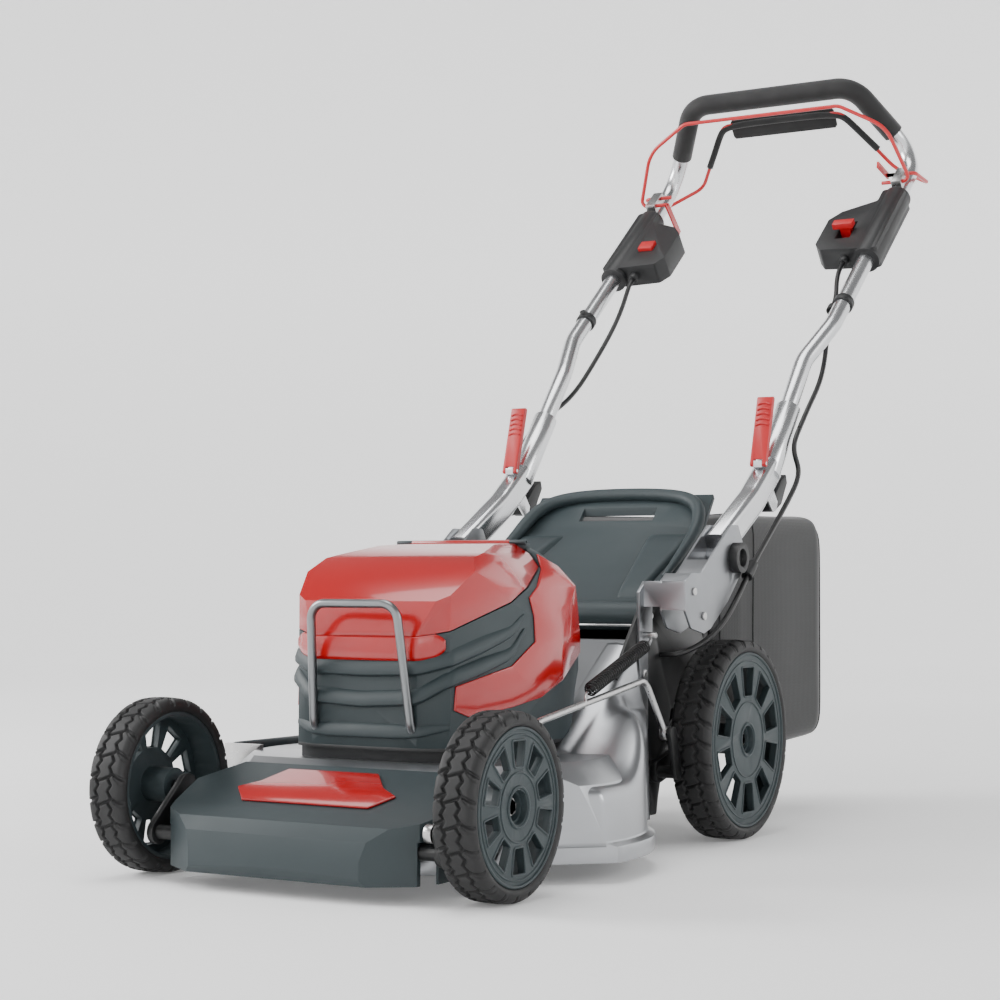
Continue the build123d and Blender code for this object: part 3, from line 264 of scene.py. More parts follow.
def makeStudioPaper(look):
    # the glow rises with the distance from the middle of the floor
    material, tree = startMaterial("paleStudioPaper")
    place = addNode(tree, "ShaderNodeTexCoord", {}).outputs["Object"]
    distance = addNode(tree, "ShaderNodeVectorMath", {"operation": "LENGTH"}, {0: place})
    glow = addNode(tree, "ShaderNodeMapRange", {"From Min": look["nearM"], "From Max": look["farM"],
                                                "To Min": look["nearGlow"], "To Max": look["farGlow"]},
                   {"Value": distance.outputs["Value"]})
    shader = addNode(tree, "ShaderNodeBsdfPrincipled",
                     {"Base Color": toLinear(look["colour"]), "Emission Color": toLinear("FFFFFF"),
                      "Roughness": look["roughness"], "Specular IOR Level": 0.1},
                     {"Emission Strength": glow.outputs["Result"]})
    finishMaterial(tree, shader)
    return material


paleStudioPaper = makeStudioPaper(studioPaperLook)
print("materials made")

world = bpy.data.worlds.new("studioWorld")
bpy.context.scene.world = world
world.use_nodes = True
world.node_tree.nodes["Background"].inputs["Color"].default_value = toLinear("FFFFFF")
world.node_tree.nodes["Background"].inputs["Strength"].default_value = 0.3


def meshObject(name, points, faces, material, smooth=True):
    data = bpy.data.meshes.new(name)
    data.from_pydata(np.asarray(points, float).reshape(-1, 3).tolist(), [], faces)
    data.materials.append(material)
    if smooth:
        data.polygons.foreach_set("use_smooth", np.ones(len(data.polygons), bool))
    data.update()
    piece = bpy.data.objects.new(name, data)
    bpy.context.scene.collection.objects.link(piece)
    return piece


def gridFaces(rows, columns, wrapRows=False, wrapColumns=False, start=0):
    # quads between neighbouring rows and columns of a grid of points
    row = np.arange(rows if wrapRows else rows - 1)
    column = np.arange(columns if wrapColumns else columns - 1)
    first, second = np.meshgrid(row, column, indexing="ij")
    nextFirst, nextSecond = (first + 1) % rows, (second + 1) % columns
    corners = [first * columns + second, nextFirst * columns + second,
               nextFirst * columns + nextSecond, first * columns + nextSecond]
    return (np.stack(corners, -1).reshape(-1, 4) + start).tolist()


def place(piece, body, slotName, replaced=()):
    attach(piece, body)
    if replaced:
        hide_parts(*replaced)
    return piece


def smoothCurve(points, samples):
    # a uniform cubic B-spline through clamped ends: weights (1-t)^3, 3t^3-6t^2+4, -3t^3+3t^2+3t+1, t^3 over 6
    points = np.asarray(points, float)
    padded = np.vstack([2 * points[0] - points[1], points, 2 * points[-1] - points[-2]])
    along = np.linspace(0, len(points) - 1, samples)
    span = np.minimum(along.astype(int), len(points) - 2)
    t = (along - span)[:, None]
    weights = [(1 - t) ** 3, 3 * t**3 - 6 * t**2 + 4, -3 * t**3 + 3 * t**2 + 3 * t + 1, t**3]
    return sum(weight * padded[span + step] for step, weight in enumerate(weights)) / 6


def tubeGrid(path, radius, sides, sideways):
    # rings about the path: centre + radius (cos a, sin a) in the plane across it; radius may vary along it
    path = np.asarray(path, float)
    ahead = np.gradient(path, axis=0)
    ahead /= np.linalg.norm(ahead, axis=1)[:, None]
    across = np.cross(ahead, np.asarray(sideways, float))
    across /= np.linalg.norm(across, axis=1)[:, None]
    other = np.cross(ahead, across)
    angle = np.linspace(0, 2 * math.pi, sides, endpoint=False)
    radius = np.broadcast_to(radius, (len(path),))[:, None, None]
    ring = across[:, None] * np.cos(angle)[None, :, None] + other[:, None] * np.sin(angle)[None, :, None]
    return path[:, None] + radius * ring


def tubePiece(name, path, radius, sides, sideways, material):
    grid = tubeGrid(path, radius, sides, sideways)
    rows = len(grid)
    faces = gridFaces(rows, sides, wrapColumns=True)
    faces += [list(range(sides)), list(range((rows - 1) * sides, rows * sides))[::-1]]
    piece = meshObject(name, grid, faces, material)
    faceOutwards(piece)
    return piece


def faceOutwards(piece):
    shape = bmesh.new()
    shape.from_mesh(piece.data)
    bmesh.ops.recalc_face_normals(shape, faces=shape.faces)
    shape.to_mesh(piece.data)
    shape.free()


def softened(node, body, slotName, material, edgeMm, sharpAngle=30, segments=2):
    # a copy of a frame node with its loose triangles merged and its sharp edges rounded by a bevel
    shape = bmesh.new()
    shape.from_mesh(frame["nodes"][node].data)
    bmesh.ops.remove_doubles(shape, verts=shape.verts, dist=1e-6)
    bmesh.ops.dissolve_limit(shape, angle_limit=math.radians(0.5), verts=shape.verts, edges=shape.edges)
    data = bpy.data.meshes.new(node + "Soft")
    shape.to_mesh(data)
    shape.free()
    data.materials.clear()
    data.materials.append(material)
    data.polygons.foreach_set("material_index", np.zeros(len(data.polygons), np.int32))
    data.polygons.foreach_set("use_smooth", np.ones(len(data.polygons), bool))
    piece = bpy.data.objects.new(node + "Soft", data)
    bpy.context.scene.collection.objects.link(piece)
    bevel = piece.modifiers.new("roundedEdges", "BEVEL")
    bevel.width = edgeMm / 1000
    bevel.segments = segments
    bevel.limit_method = "ANGLE"
    bevel.angle_limit = math.radians(sharpAngle)
    bevel.harden_normals = True
    return place(piece, body, slotName, [node])


studio = {"floorRadius": 6.5, "sweepRadius": 2.0, "height": 6.0, "around": 96}


def makeStudio(settings):
    # a round floor that sweeps up into a wall on every side: flat run, quarter circle, upright run, turned about z
    angle = np.linspace(0, math.pi / 2, 16)
    flat = np.array([[0.0005, 0.0], [2.0, 0.0], [4.0, 0.0]])
    turn = np.column_stack([settings["floorRadius"] + settings["sweepRadius"] * np.sin(angle),
                            settings["sweepRadius"] * (1 - np.cos(angle))])
    wall = np.array([[turn[-1, 0], settings["height"]]])
    profile = np.vstack([flat, turn, wall])
    around = np.linspace(0, 2 * math.pi, settings["around"], endpoint=False)
    grid = np.zeros((settings["around"], len(profile), 3))
    grid[..., 0] = np.cos(around)[:, None] * profile[None, :, 0]
    grid[..., 1] = np.sin(around)[:, None] * profile[None, :, 0]
    grid[..., 2] = profile[None, :, 1] - 0.0004
    paper = meshObject("studioPaper", grid, gridFaces(*grid.shape[:2], wrapRows=True), paleStudioPaper)


makeStudio(studio)

bodyOf = {node: body for body, members in frame["record"]["behaviour"]["bodies"].items() for node in members}
slotOf = {entry["node"]: entry["material_slot"] for entry in frame["record"]["subparts"]}
roundedNodes = {
    "deck": (silverPowderCoat, 1.2), "rear_chassis": (blackPowderCoat, 1.2),
    "front_bumper": (greyMouldedPolypropylene, 3.0),
    "bumper_badge": (redGlossAbs, 1.2), "front_guard": (nickelPlatedTube, 0.5),
    "hood_body": (greyMouldedPolypropylene, 2.0),
    "battery_lid": (redGlossAbs, 3.0), "hood_base": (blackMouldedNylon, 1.5),
    "side_panels": (redGlossAbs, 1.5),
    "motor_can": (castAluminium, 1.0), "motor_rotor": (zincPlatedSteel, 0.5),
    "blade_hub": (castAluminium, 0.8),
    "blade": (hardenedBladeSteel, 0.5), "blade_bolt": (zincPlatedSteel, 0.6),
    "battery_cradle": (blackMouldedNylon, 1.0),
    "battery_pack": (batteryCasePlastic, 2.0), "battery_button": (redMouldedAbs, 1.0),
    "motor_controller": (castAluminium, 1.0), "front_crank": (blackPowderCoat, 0.8),
    "rear_crank": (blackPowderCoat, 0.8),
    "height_lever_knob": (blackMouldedNylon, 2.5), "drive_gearbox": (blackMouldedNylon, 2.0),
    "height_link_rod": (zincPlatedSteel, 0.6), "adjuster_bearings": (blackMouldedNylon, 1.0),
    "rear_flap": (greyMouldedPolypropylene, 2.5), "flap_hinge_rod": (zincPlatedSteel, 0.3),
    "side_discharge_cover": (greyMouldedPolypropylene, 1.2), "side_cover_rod": (zincPlatedSteel, 0.3),
    "bag_frame": (blackMouldedNylon, 1.5), "handle_brackets": (satinAluminiumPlate, 0.7),
    "bracket_bolts": (zincPlatedSteel, 0.6), "fold_knobs": (blackMouldedNylon, 1.2),
    "lower_handle_arms": (anodisedTube, 1.5), "clamp_sleeves": (anodisedTube, 0.8),
    "cam_lever_left": (redMouldedAbs, 1.2), "cam_lever_right": (redMouldedAbs, 1.2),
    "fold_trigger_left": (blackMouldedNylon, 1.5), "fold_trigger_right": (blackMouldedNylon, 1.5),
    "upper_handle_tube": (anodisedTube, 0.3), "hand_grip": (closedCellFoam, 1.5),
    "switch_housings": (blackMouldedNylon, 2.5), "start_button": (redMouldedAbs, 1.2),
    "speed_lever": (redMouldedAbs, 1.2),
    "bail_brackets": (zincPlatedSteel, 0.8), "presence_bail": (redPowderCoat, 0.3),
    "drive_bail": (redPowderCoat, 0.3),
    "cable_clips": (blackMouldedNylon, 0.8), "spring_anchor": (zincPlatedSteel, 0.5),
    "front_left_rim": (greyMouldedPolypropylene, 1.2), "front_right_rim": (greyMouldedPolypropylene, 1.2),
    "rear_left_rim": (greyMouldedPolypropylene, 1.2), "rear_right_rim": (greyMouldedPolypropylene, 1.2),
}
for nodeName, (nodeMaterial, edgeMm) in roundedNodes.items():
    softened(nodeName, bodyOf[nodeName], slotOf[nodeName], nodeMaterial, edgeMm)
print("frame nodes rounded")

tyreLook = {"samplesAround": 800, "samplesAcross": 46, "grooveDepthMm": 3.6, "grooveHalfWidthMm": 1.5,
            "shoulderMm": 8.0, "pitchMm": 27.0, "sipeDepthMm": 1.4, "sidewallBulgeMm": 1.2, "rubberMm": 16.0}


def triangleWave(turns):
    return 4 * np.abs(turns - np.floor(turns + 0.5)) - 1


def treadDepth(turns, lateral, look):
    # depth of the grooves in mm: two zigzag grooves round the tyre, slanted grooves between and outside them
    zigzag = 0.36 + 0.09 * triangleWave(2 * turns) * np.sign(lateral)
    pitch = look["pitchMm"]
    halfWidth = look["halfWidthMm"]
    aroundZigzag = np.abs(np.abs(lateral) - zigzag) * halfWidth
    inCentre = np.abs(lateral) < zigzag
    slant = np.where(inCentre, 0.30 * lateral, 0.25 - 0.42 * (np.abs(lateral) - 0.36))
    acrossTread = np.abs((turns + slant) - np.round(turns + slant)) * pitch
    sipe = np.abs((turns + 0.5 - 0.8 * lateral) - np.round(turns + 0.5 - 0.8 * lateral)) * pitch
    wide = look["grooveHalfWidthMm"]
    groove = np.minimum(aroundZigzag, acrossTread + np.where(inCentre, 0.3, 0.0))
    depth = look["grooveDepthMm"] * np.clip((wide + 0.8 - groove) / 0.8, 0, 1)
    fine = look["sipeDepthMm"] * np.clip((0.5 + 0.6 - sipe) / 0.6, 0, 1) * (np.abs(lateral) > 0.5)
    return np.maximum(depth, fine)


def makeTyre(name):
    node = name + "_tyre"
    low, high = (np.array(corner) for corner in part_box(node))
    middle = 0.5 * (low + high)
    radius = 500 * (high[2] - low[2])
    halfWidth = 500 * (high[0] - low[0])
    look = dict(tyreLook, halfWidthMm=halfWidth)
    shoulder, rubber = look["shoulderMm"], look["rubberMm"]
    across = np.linspace(-1, 1, look["samplesAcross"])
    crown = 0.8 * across**2
    tread = np.column_stack([across * (halfWidth - shoulder), radius - crown])
    bend = np.linspace(0, math.pi / 2, 8)[1:]
    right = np.column_stack([halfWidth - shoulder + shoulder * np.sin(bend) - 0.6,
                             radius - 0.8 - shoulder * (1 - np.cos(bend))])
    side = np.linspace(0, 1, 7)[1:]
    wall = np.column_stack([halfWidth - 0.6 - 2.2 * side**2
                            + look["sidewallBulgeMm"] * np.sin(math.pi * side) * 0.5,
                            radius - 0.8 - shoulder - side * (rubber - 0.8 - shoulder)])
    bore = np.column_stack([np.linspace(halfWidth - 3.2, -(halfWidth - 3.2), 6)[1:-1],
                            np.full(4, radius - rubber)])
    mirrored = np.vstack([right, wall])[::-1] * [-1, 1]
    profile = np.vstack([tread, right, wall, bore, mirrored])
    turns = np.arange(look["samplesAround"]) / look["samplesAround"]
    blocks = round(2 * math.pi * radius / look["pitchMm"])
    lateral = profile[:, 0] / halfWidth
    depth = treadDepth(turns[:, None] * blocks, lateral[None, :], look)
    onTread = np.clip((profile[:, 1] - (radius - shoulder - 1)) / 3, 0, 1)
    ringRadius = (profile[None, :, 1] - depth * onTread[None, :]) / 1000
    angle = 2 * math.pi * turns[:, None]
    grid = np.zeros(ringRadius.shape + (3,))
    grid[..., 0] = middle[0] + profile[None, :, 0] / 1000
    grid[..., 1] = middle[1] + ringRadius * np.cos(angle)
    grid[..., 2] = middle[2] + ringRadius * np.sin(angle)
    piece = meshObject(name + "TreadedTyre", grid, gridFaces(*ringRadius.shape, True, True), solidTyreRubber)
    faceOutwards(piece)
    place(piece, bodyOf[node], slotOf[node], [node])


wheelNames = ("front_left", "front_right", "rear_left", "rear_right")
for wheelName in wheelNames:
    makeTyre(wheelName)
print("tyres made")

trimLook = {"lipMm": 1.3, "windows": 10, "windowShare": 0.66, "windowSizeShare": 0.34, "cornerMm": 3.0,
            "hubMm": 21.0}


def roundedOutline(corners, cornerRadius, perCorner=6):
    # each corner of a closed outline becomes an arc, blended from its two tangent points by a quadratic curve
    corners = np.asarray(corners, float)
    before = np.roll(corners, 1, axis=0) - corners
    after = np.roll(corners, -1, axis=0) - corners
    start = corners + cornerRadius * before / np.linalg.norm(before, axis=1)[:, None]
    end = corners + cornerRadius * after / np.linalg.norm(after, axis=1)[:, None]
    t = np.linspace(0, 1, perCorner)[None, :, None]
    curve = (1 - t) ** 2 * start[:, None] + 2 * t * (1 - t) * corners[:, None] + t**2 * end[:, None]
    return curve.reshape(-1, 2)


def closedTube(path, radius, sides, sideways):
    # like tubeGrid, for a path that closes on itself
    ahead = np.roll(path, -1, axis=0) - np.roll(path, 1, axis=0)
    ahead /= np.linalg.norm(ahead, axis=1)[:, None]
    across = np.cross(ahead, np.asarray(sideways, float))
    across /= np.linalg.norm(across, axis=1)[:, None]
    other = np.cross(ahead, across)
    angle = np.linspace(0, 2 * math.pi, sides, endpoint=False)[None, :, None]
    return path[:, None] + radius * (across[:, None] * np.cos(angle) + other[:, None] * np.sin(angle))


def joinGrids(name, grids, material):
    # several closed tubes as one mesh
    points, faces, start = [], [], 0
    for grid in grids:
        points.append(grid.reshape(-1, 3))
        faces += gridFaces(grid.shape[0], grid.shape[1], True, True, start)
        start += grid.shape[0] * grid.shape[1]
    piece = meshObject(name, np.vstack(points), faces, material)
    faceOutwards(piece)
    return piece


def makeWheelTrim(name):
    node = name + "_rim"
    low, high = (np.array(corner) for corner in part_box(node))
    middle = 0.5 * (low + high)
    rimRadius = 500 * (high[2] - low[2])
    outward = np.sign(middle[0])
    face = high[0] if outward > 0 else low[0]
    half = 0.5 * trimLook["windowSizeShare"] * rimRadius
    tall = 0.5 * trimLook["windowSizeShare"] * rimRadius
    narrow = half - tall * 2 / math.tan(math.radians(80))
    corners = [(-narrow, -tall), (narrow, -tall), (half, tall), (-half, tall)]
    outlinePoints = roundedOutline(corners, trimLook["cornerMm"])
    outlinePoints[:, 1] += trimLook["windowShare"] * rimRadius
    grids = []
    for number in range(trimLook["windows"]):
        turn = 2 * math.pi * number / trimLook["windows"]
        side = outlinePoints[:, 0] * math.cos(turn) - outlinePoints[:, 1] * math.sin(turn)
        rise = outlinePoints[:, 0] * math.sin(turn) + outlinePoints[:, 1] * math.cos(turn)
        path = np.column_stack([np.full(len(side), face), middle[1] + side / 1000, middle[2] + rise / 1000])
        grids.append(closedTube(path, trimLook["lipMm"] / 1000, 8, (1, 0, 0)))
    angle = np.linspace(0, 2 * math.pi, 120, endpoint=False)
    for ringRadius, thick in ((rimRadius - 2.0, 2.0), (0.9 * rimRadius, 1.1), (0.43 * rimRadius, 1.2),
                              (trimLook["hubMm"], 1.8)):
        path = np.column_stack([np.full(len(angle), face), middle[1] + ringRadius / 1000 * np.cos(angle),
                                middle[2] + ringRadius / 1000 * np.sin(angle)])
        grids.append(closedTube(path, thick / 1000, 8, (1, 0, 0)))
    piece = joinGrids(name + "RimTrim", grids, greyMouldedPolypropylene)
    place(piece, bodyOf[node], slotOf[node])


for wheelName in wheelNames:
    makeWheelTrim(wheelName)
print("wheel trims made")

cableLook = {"radius": 0.0036, "samplesPerPoint": 9, "sides": 14}
upperLeftRoute = [(179, 1100, 821.5), (179, 1082, 806.7), (184, 1059.8, 784), (195, 1033.3, 755.8),
                  (195, 996.5, 725),
                  (208, 960, 672), (217, 915, 622), (219, 868, 587), (219.5, 828, 548.7)]
upperRightRoute = [(179, 1100, 821.5), (179, 1086.5, 810.6), (181, 1074, 782), (187, 1060, 750),
                   (193, 1032, 712),
                   (197, 998, 676), (201, 960, 637), (206, 920, 608), (212, 884, 590), (219.2, 852, 571.7),
                   (219.5, 828, 548.7)]
lowerRoute = [(219.5, 828, 548.7), (219.8, 808, 529.6), (220.2, 808.4, 511.6), (221, 822.6, 497.4),
              (221, 821.7, 479.6), (221, 795, 455.5), (221, 740, 414), (221, 664, 359.6), (222, 630, 330.5),
              (218, 592, 289), (203, 560, 258), (180, 534, 244), (168, 530, 242), (152, 530, 242)]


def makeCable(name, route, mirrored):
    path = smoothCurve([at(-x if mirrored else x, y, z) for x, y, z in route],
                       cableLook["samplesPerPoint"] * len(route))
    return tubePiece(name, path, cableLook["radius"], cableLook["sides"], (1, 0.1, 0.2), vinylJacket)


for cableSide, cableRoute, mirroredCable in (("left", upperLeftRoute, False),
                                             ("right", upperRightRoute, True)):
    across = -1 if mirroredCable else 1
    upperCable = makeCable(cableSide + "UpperCable", cableRoute, mirroredCable)
    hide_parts("upper_cables")
    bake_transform(upperCable)
    lowerCable = makeCable(cableSide + "LowerCable", lowerRoute, mirroredCable)
    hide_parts("lower_cables")
    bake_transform(lowerCable)
print("cables made")

springLook = {"coils": 34, "coilRadius": 0.0078, "wireRadius": 0.0011, "samplesPerCoil": 14,
              "coreRadius": 0.0042}


def makeAssistSpring(look):
    # a close helix between the two ends, each end run out into a straight hook
    low, top = at(177.5, 283, 205), at(170, 456, 258)
    axis = (top - low) / np.linalg.norm(top - low)
    side = np.cross(axis, [1.0, 0, 0])
    side /= np.linalg.norm(side)
    other = np.cross(axis, side)
    count = look["coils"] * look["samplesPerCoil"]
    share = np.linspace(0, 1, count)
    angle = 2 * math.pi * look["coils"] * share
    swell = look["coilRadius"] * np.clip(np.minimum(share, 1 - share) * 18, 0.15, 1)
    coil = low + share[:, None] * (top - low) + swell[:, None] * (
        np.cos(angle)[:, None] * side + np.sin(angle)[:, None] * other)
    wire = tubePiece("assistSpringCoil", coil, look["wireRadius"], 7, axis.tolist(), blackPowderCoat)
    hook = smoothCurve([low, at(179, 280, 205), at(181, 272, 200),
                        at(184, 268, 192), at(180, 270, 185), at(176, 272, 190)], 40)
    lowerHook = tubePiece("assistSpringHook", hook, 0.0014, 8, (1, 0, 0.1), zincPlatedSteel)
    upperEnd = smoothCurve([top, at(169, 466, 262), at(166, 474, 267), at(163, 478, 270)], 20)
    upperHook = tubePiece("assistSpringEnd", upperEnd, 0.0014, 8, (1, 0, 0.1), zincPlatedSteel)
    core = tubePiece("assistSpringCore", [low + 0.06 * (top - low), top - 0.06 * (top - low)],
                     look["coreRadius"], 12, (1, 0, 0), blackMouldedNylon)
    for piece in (wire, lowerHook, upperHook, core):
        place(piece, "chassis", "black_steel", ["assist_spring"])
        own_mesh(piece)


makeAssistSpring(springLook)
print("spring made")

bagMaterialLook = {"threadMm": 2.4, "colour": "060708", "wornColour": "0B0C0D", "driftMm": 140,
                   "roughness": 0.72}


def wovenPolyesterBag(look):
    # plain-woven polyester: crossed threads, drawn coarser than real so they show, dull with a slight sheen
    material, tree = startMaterial("wovenPolyesterBag")
    place = addNode(tree, "ShaderNodeTexCoord", {}).outputs["Object"]
    threads = 1000 / look["threadMm"]
    weave = [addNode(tree, "ShaderNodeTexWave", {"wave_type": "BANDS", "bands_direction": way,
                                                 "Scale": threads / 6.28,
                                                 "Distortion": 0.3, "Detail": 1.0}, {"Vector": place})
             for way in ("Y", "Z")]
    both = addNode(tree, "ShaderNodeMath", {"operation": "MAXIMUM"},
                   {0: weave[0].outputs["Fac"], 1: weave[1].outputs["Fac"]})
    drift = addNode(tree, "ShaderNodeTexNoise", {"Scale": 1000 / look["driftMm"], "Detail": 4.0},
                    {"Vector": place})
    mix = addNode(tree, "ShaderNodeMix", {"data_type": "RGBA"}, {"Factor": drift.outputs["Fac"]})
    mix.inputs[6].default_value = toLinear(look["colour"])
    mix.inputs[7].default_value = toLinear(look["wornColour"])
    bump = addNode(tree, "ShaderNodeBump", {"Strength": 0.4, "Distance": 0.0003},
                   {"Height": both.outputs["Value"]})
    shader = addNode(tree, "ShaderNodeBsdfPrincipled",
                     {"Roughness": look["roughness"], "IOR": 1.5, "Sheen Weight": 0.2,
                      "Sheen Roughness": 0.45},
                     {"Base Color": mix.outputs[2], "Normal": bump.outputs["Normal"]})
    finishMaterial(tree, shader)
    return material


bagCloth = wovenPolyesterBag(bagMaterialLook)
bagShape = {"samplesAlong": 54, "samplesRound": 132, "topSagMm": 9.0, "sideSagMm": 5.0, "cornerPower": 11.0,
            "seamRadius": 0.0016}


def makeBag(look):
    # lofted round-cornered rings from the frame to the back, closed by a crowned back panel
    # a ring is a superellipse: |x/a|^p + |z/b|^p = 1
    low, high = (np.array(corner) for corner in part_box("bag_cloth"))
    along = np.linspace(0, 1, look["samplesAlong"])
    y = low[1] + 0.0006 + (high[1] - low[1] - 0.003) * along
    yMm = (y - frontAxleY) * 1000
    topMm = np.interp(yMm, [678, 708, 770, 800, 1045, 1078], [384, 396, 428, 435, 437, 420])
    floorMm = np.interp(yMm, [678, 735, 800, 905, 1060, 1078], [190, 153, 114, 99, 106, 122])
    halfMm = np.interp(yMm, [678, 700, 760, 1040, 1078], [152, 157, 162, 162, 150])
    angle = np.linspace(0, 2 * math.pi, look["samplesRound"], endpoint=False)
    power = 2 / look["cornerPower"]
    ringX = np.sign(np.cos(angle)) * np.abs(np.cos(angle)) ** power
    ringZ = np.sign(np.sin(angle)) * np.abs(np.sin(angle)) ** power
    middle = 0.5 * (topMm + floorMm)
    tall = 0.5 * (topMm - floorMm)
    ripple = np.sin(9 * along)[:, None] * np.cos(3 * angle)[None, :]
    x = halfMm[:, None] * ringX[None, :]
    z = middle[:, None] + tall[:, None] * ringZ[None, :]
    span = np.sin(math.pi * np.clip(along, 0, 1))[:, None]
    z -= look["topSagMm"] * span * np.clip(ringZ, 0, 1)[None, :] ** 6 * (1 - ringX[None, :] ** 2)
    x *= 1 - look["sideSagMm"] / 162 * span * (1 - ringZ[None, :] ** 2) * (0.75 + 0.25 * ripple)
    grid = np.stack([x / 1000, np.broadcast_to(y[:, None], x.shape), z / 1000], -1)
    shrink = np.linspace(0.94, 0.0, 10)[:, None, None]
    back = grid[-1].mean(0)
    panel = back + shrink * (grid[-1] - back)[None]
    panel[..., 1] = high[1] - 0.001 - 0.002 * (1 - (shrink[..., 0] - 0.5) ** 2)
    points = np.vstack([grid, panel])
    piece = meshObject("grassBag", points, gridFaces(len(points), look["samplesRound"], wrapColumns=True),
                       bagCloth)
    shape = bmesh.new()
    shape.from_mesh(piece.data)
    bmesh.ops.remove_doubles(shape, verts=shape.verts, dist=1e-5)
    bmesh.ops.recalc_face_normals(shape, faces=shape.faces)
    shape.to_mesh(piece.data)
    shape.free()
    wall = piece.modifiers.new("clothThickness", "SOLIDIFY")
    wall.thickness = 0.0012
    wall.offset = -1
    seams = [closedTube(grid[row], look["seamRadius"], 8, (0, 1, 0)) for row in (3, 17,
                                                                                 look["samplesAlong"] - 3)]
    place(joinGrids("grassBagSeams", seams, bagCloth), "grass_bag", "bag_fabric")
    return place(piece, "grass_bag", "bag_fabric", ["bag_cloth"])


grassBag = makeBag(bagShape)
print("bag made")

hoodLook = {"sampleMm": 3.0, "ribs": [
    {"heights": [236, 238, 248, 277, 300], "tall": 19, "deep": 5.5},
    {"heights": [201, 205, 226, 252, 286], "tall": 19, "deep": 6.5},
    {"heights": [166, 166, 172, 178, 178], "tall": 17, "deep": 5.0, "endMm": 112}]}
hoodPlan = [(0, 78), (72, 80), (104, 98), (134, 180), (140, 212)]


def hoodPath(heights, endMm, sampleMm):
    # a line round the front of the hood at the given heights, with the direction out of its wall at each point
    plan = np.array(hoodPlan, float)
    reach = np.concatenate([[0], np.cumsum(np.linalg.norm(np.diff(plan, axis=0), axis=1))])
    along = np.arange(-endMm, endMm + 0.1, sampleMm)
    x = np.sign(along) * np.interp(np.abs(along), reach, plan[:, 0])
    y = np.interp(np.abs(along), reach, plan[:, 1])
    z = np.interp(np.abs(along), reach, heights)
    blur = np.ones(7) / 7
    y, z = (np.convolve(np.pad(line, 3, "edge"), blur, "valid") for line in (y, z))
    ahead = np.column_stack([np.gradient(x), np.gradient(y)])
    ahead /= np.linalg.norm(ahead, axis=1)[:, None]
    outwards = np.column_stack([ahead[:, 1], -ahead[:, 0], np.zeros(len(x))])
    return along, np.column_stack([x, y, z]), outwards


def makeHoodRib(number, rib):
    # a louvre: a wedge profile, sharp at its lower edge, carried round the hood and tapered to nothing at its ends
    endMm = rib.get("endMm", 224)
    along, path, outwards = hoodPath(rib["heights"], endMm, hoodLook["sampleMm"])
    tall, deep = rib["tall"] / 2, rib["deep"]
    profile = np.array([(-3, -tall), (0.5 * deep, -tall), (deep, -0.75 * tall), (deep, -0.2 * tall),
                        (0.55 * deep, 0.6 * tall), (0, tall), (-3, tall)])
    taper = np.clip((endMm - np.abs(along)) / 70, 0.02, 1)[:, None, None] ** 0.6
    grid = (path[:, None] + outwards[:, None] * (profile[None, :, :1] * np.where(profile[None, :, :1] > 0,
                                                                                 taper, 1))
            + np.array([0, 0, 1.0]) * profile[None, :, 1:] * (0.25 + 0.75 * taper))
    grid = np.stack([grid[..., 0] / 1000, frontAxleY + grid[..., 1] / 1000, grid[..., 2] / 1000], -1)
    rows, columns = grid.shape[:2]
    faces = gridFaces(rows, columns, wrapColumns=True)
    faces += [list(range(columns)), list(range((rows - 1) * columns, rows * columns))[::-1]]
    piece = meshObject("hoodRib" + str(number), grid, faces, greyMouldedPolypropylene)
    faceOutwards(piece)
    edge = piece.modifiers.new("roundedEdges", "BEVEL")
    edge.width = 0.0012
    edge.segments = 2
    place(piece, "chassis", slotOf["hood_body"])


for number, rib in enumerate(hoodLook["ribs"]):
    makeHoodRib(number, rib)


def makeLidLip():
    # the lid's turned-down front edge: a shallow band below the seam, tapered where it meets the sides
    along, path, outwards = hoodPath([258, 258, 264, 290, 300], 104, 2.0)
    half = 14 * np.clip((106 - np.abs(along)) / 14, 0.15, 1)[:, None, None] ** 0.5
    profile = np.array([(-2, -1.0), (2.2, -0.9), (3.2, -0.6), (3.2, 0.9), (2.0, 1.0), (-2, 1.0)])
    grid = path[:, None] + outwards[:, None] * profile[None, :, :1] + np.array([0, 0, 1.0]) * profile[None,
                                                                                                      :,
                                                                                                      1:] * half
    grid = np.stack([grid[..., 0] / 1000, frontAxleY + grid[..., 1] / 1000, grid[..., 2] / 1000], -1)
    rows, columns = grid.shape[:2]
    faces = gridFaces(rows, columns, wrapColumns=True)
    faces += [list(range(columns)), list(range((rows - 1) * columns, rows * columns))[::-1]]
    piece = meshObject("lidLip", grid, faces, redGlossAbs)
    faceOutwards(piece)
    place(piece, bodyOf["battery_lid"], slotOf["battery_lid"])


makeLidLip()
print("hood detail made")

shoulderLook = {"frontMm": 120, "rearMm": 458, "samplesAlong": 90, "samplesAcross": 48, "radiusMm": 253,
                "lowMm": 108, "riseMm": 70, "thickMm": 1.4}


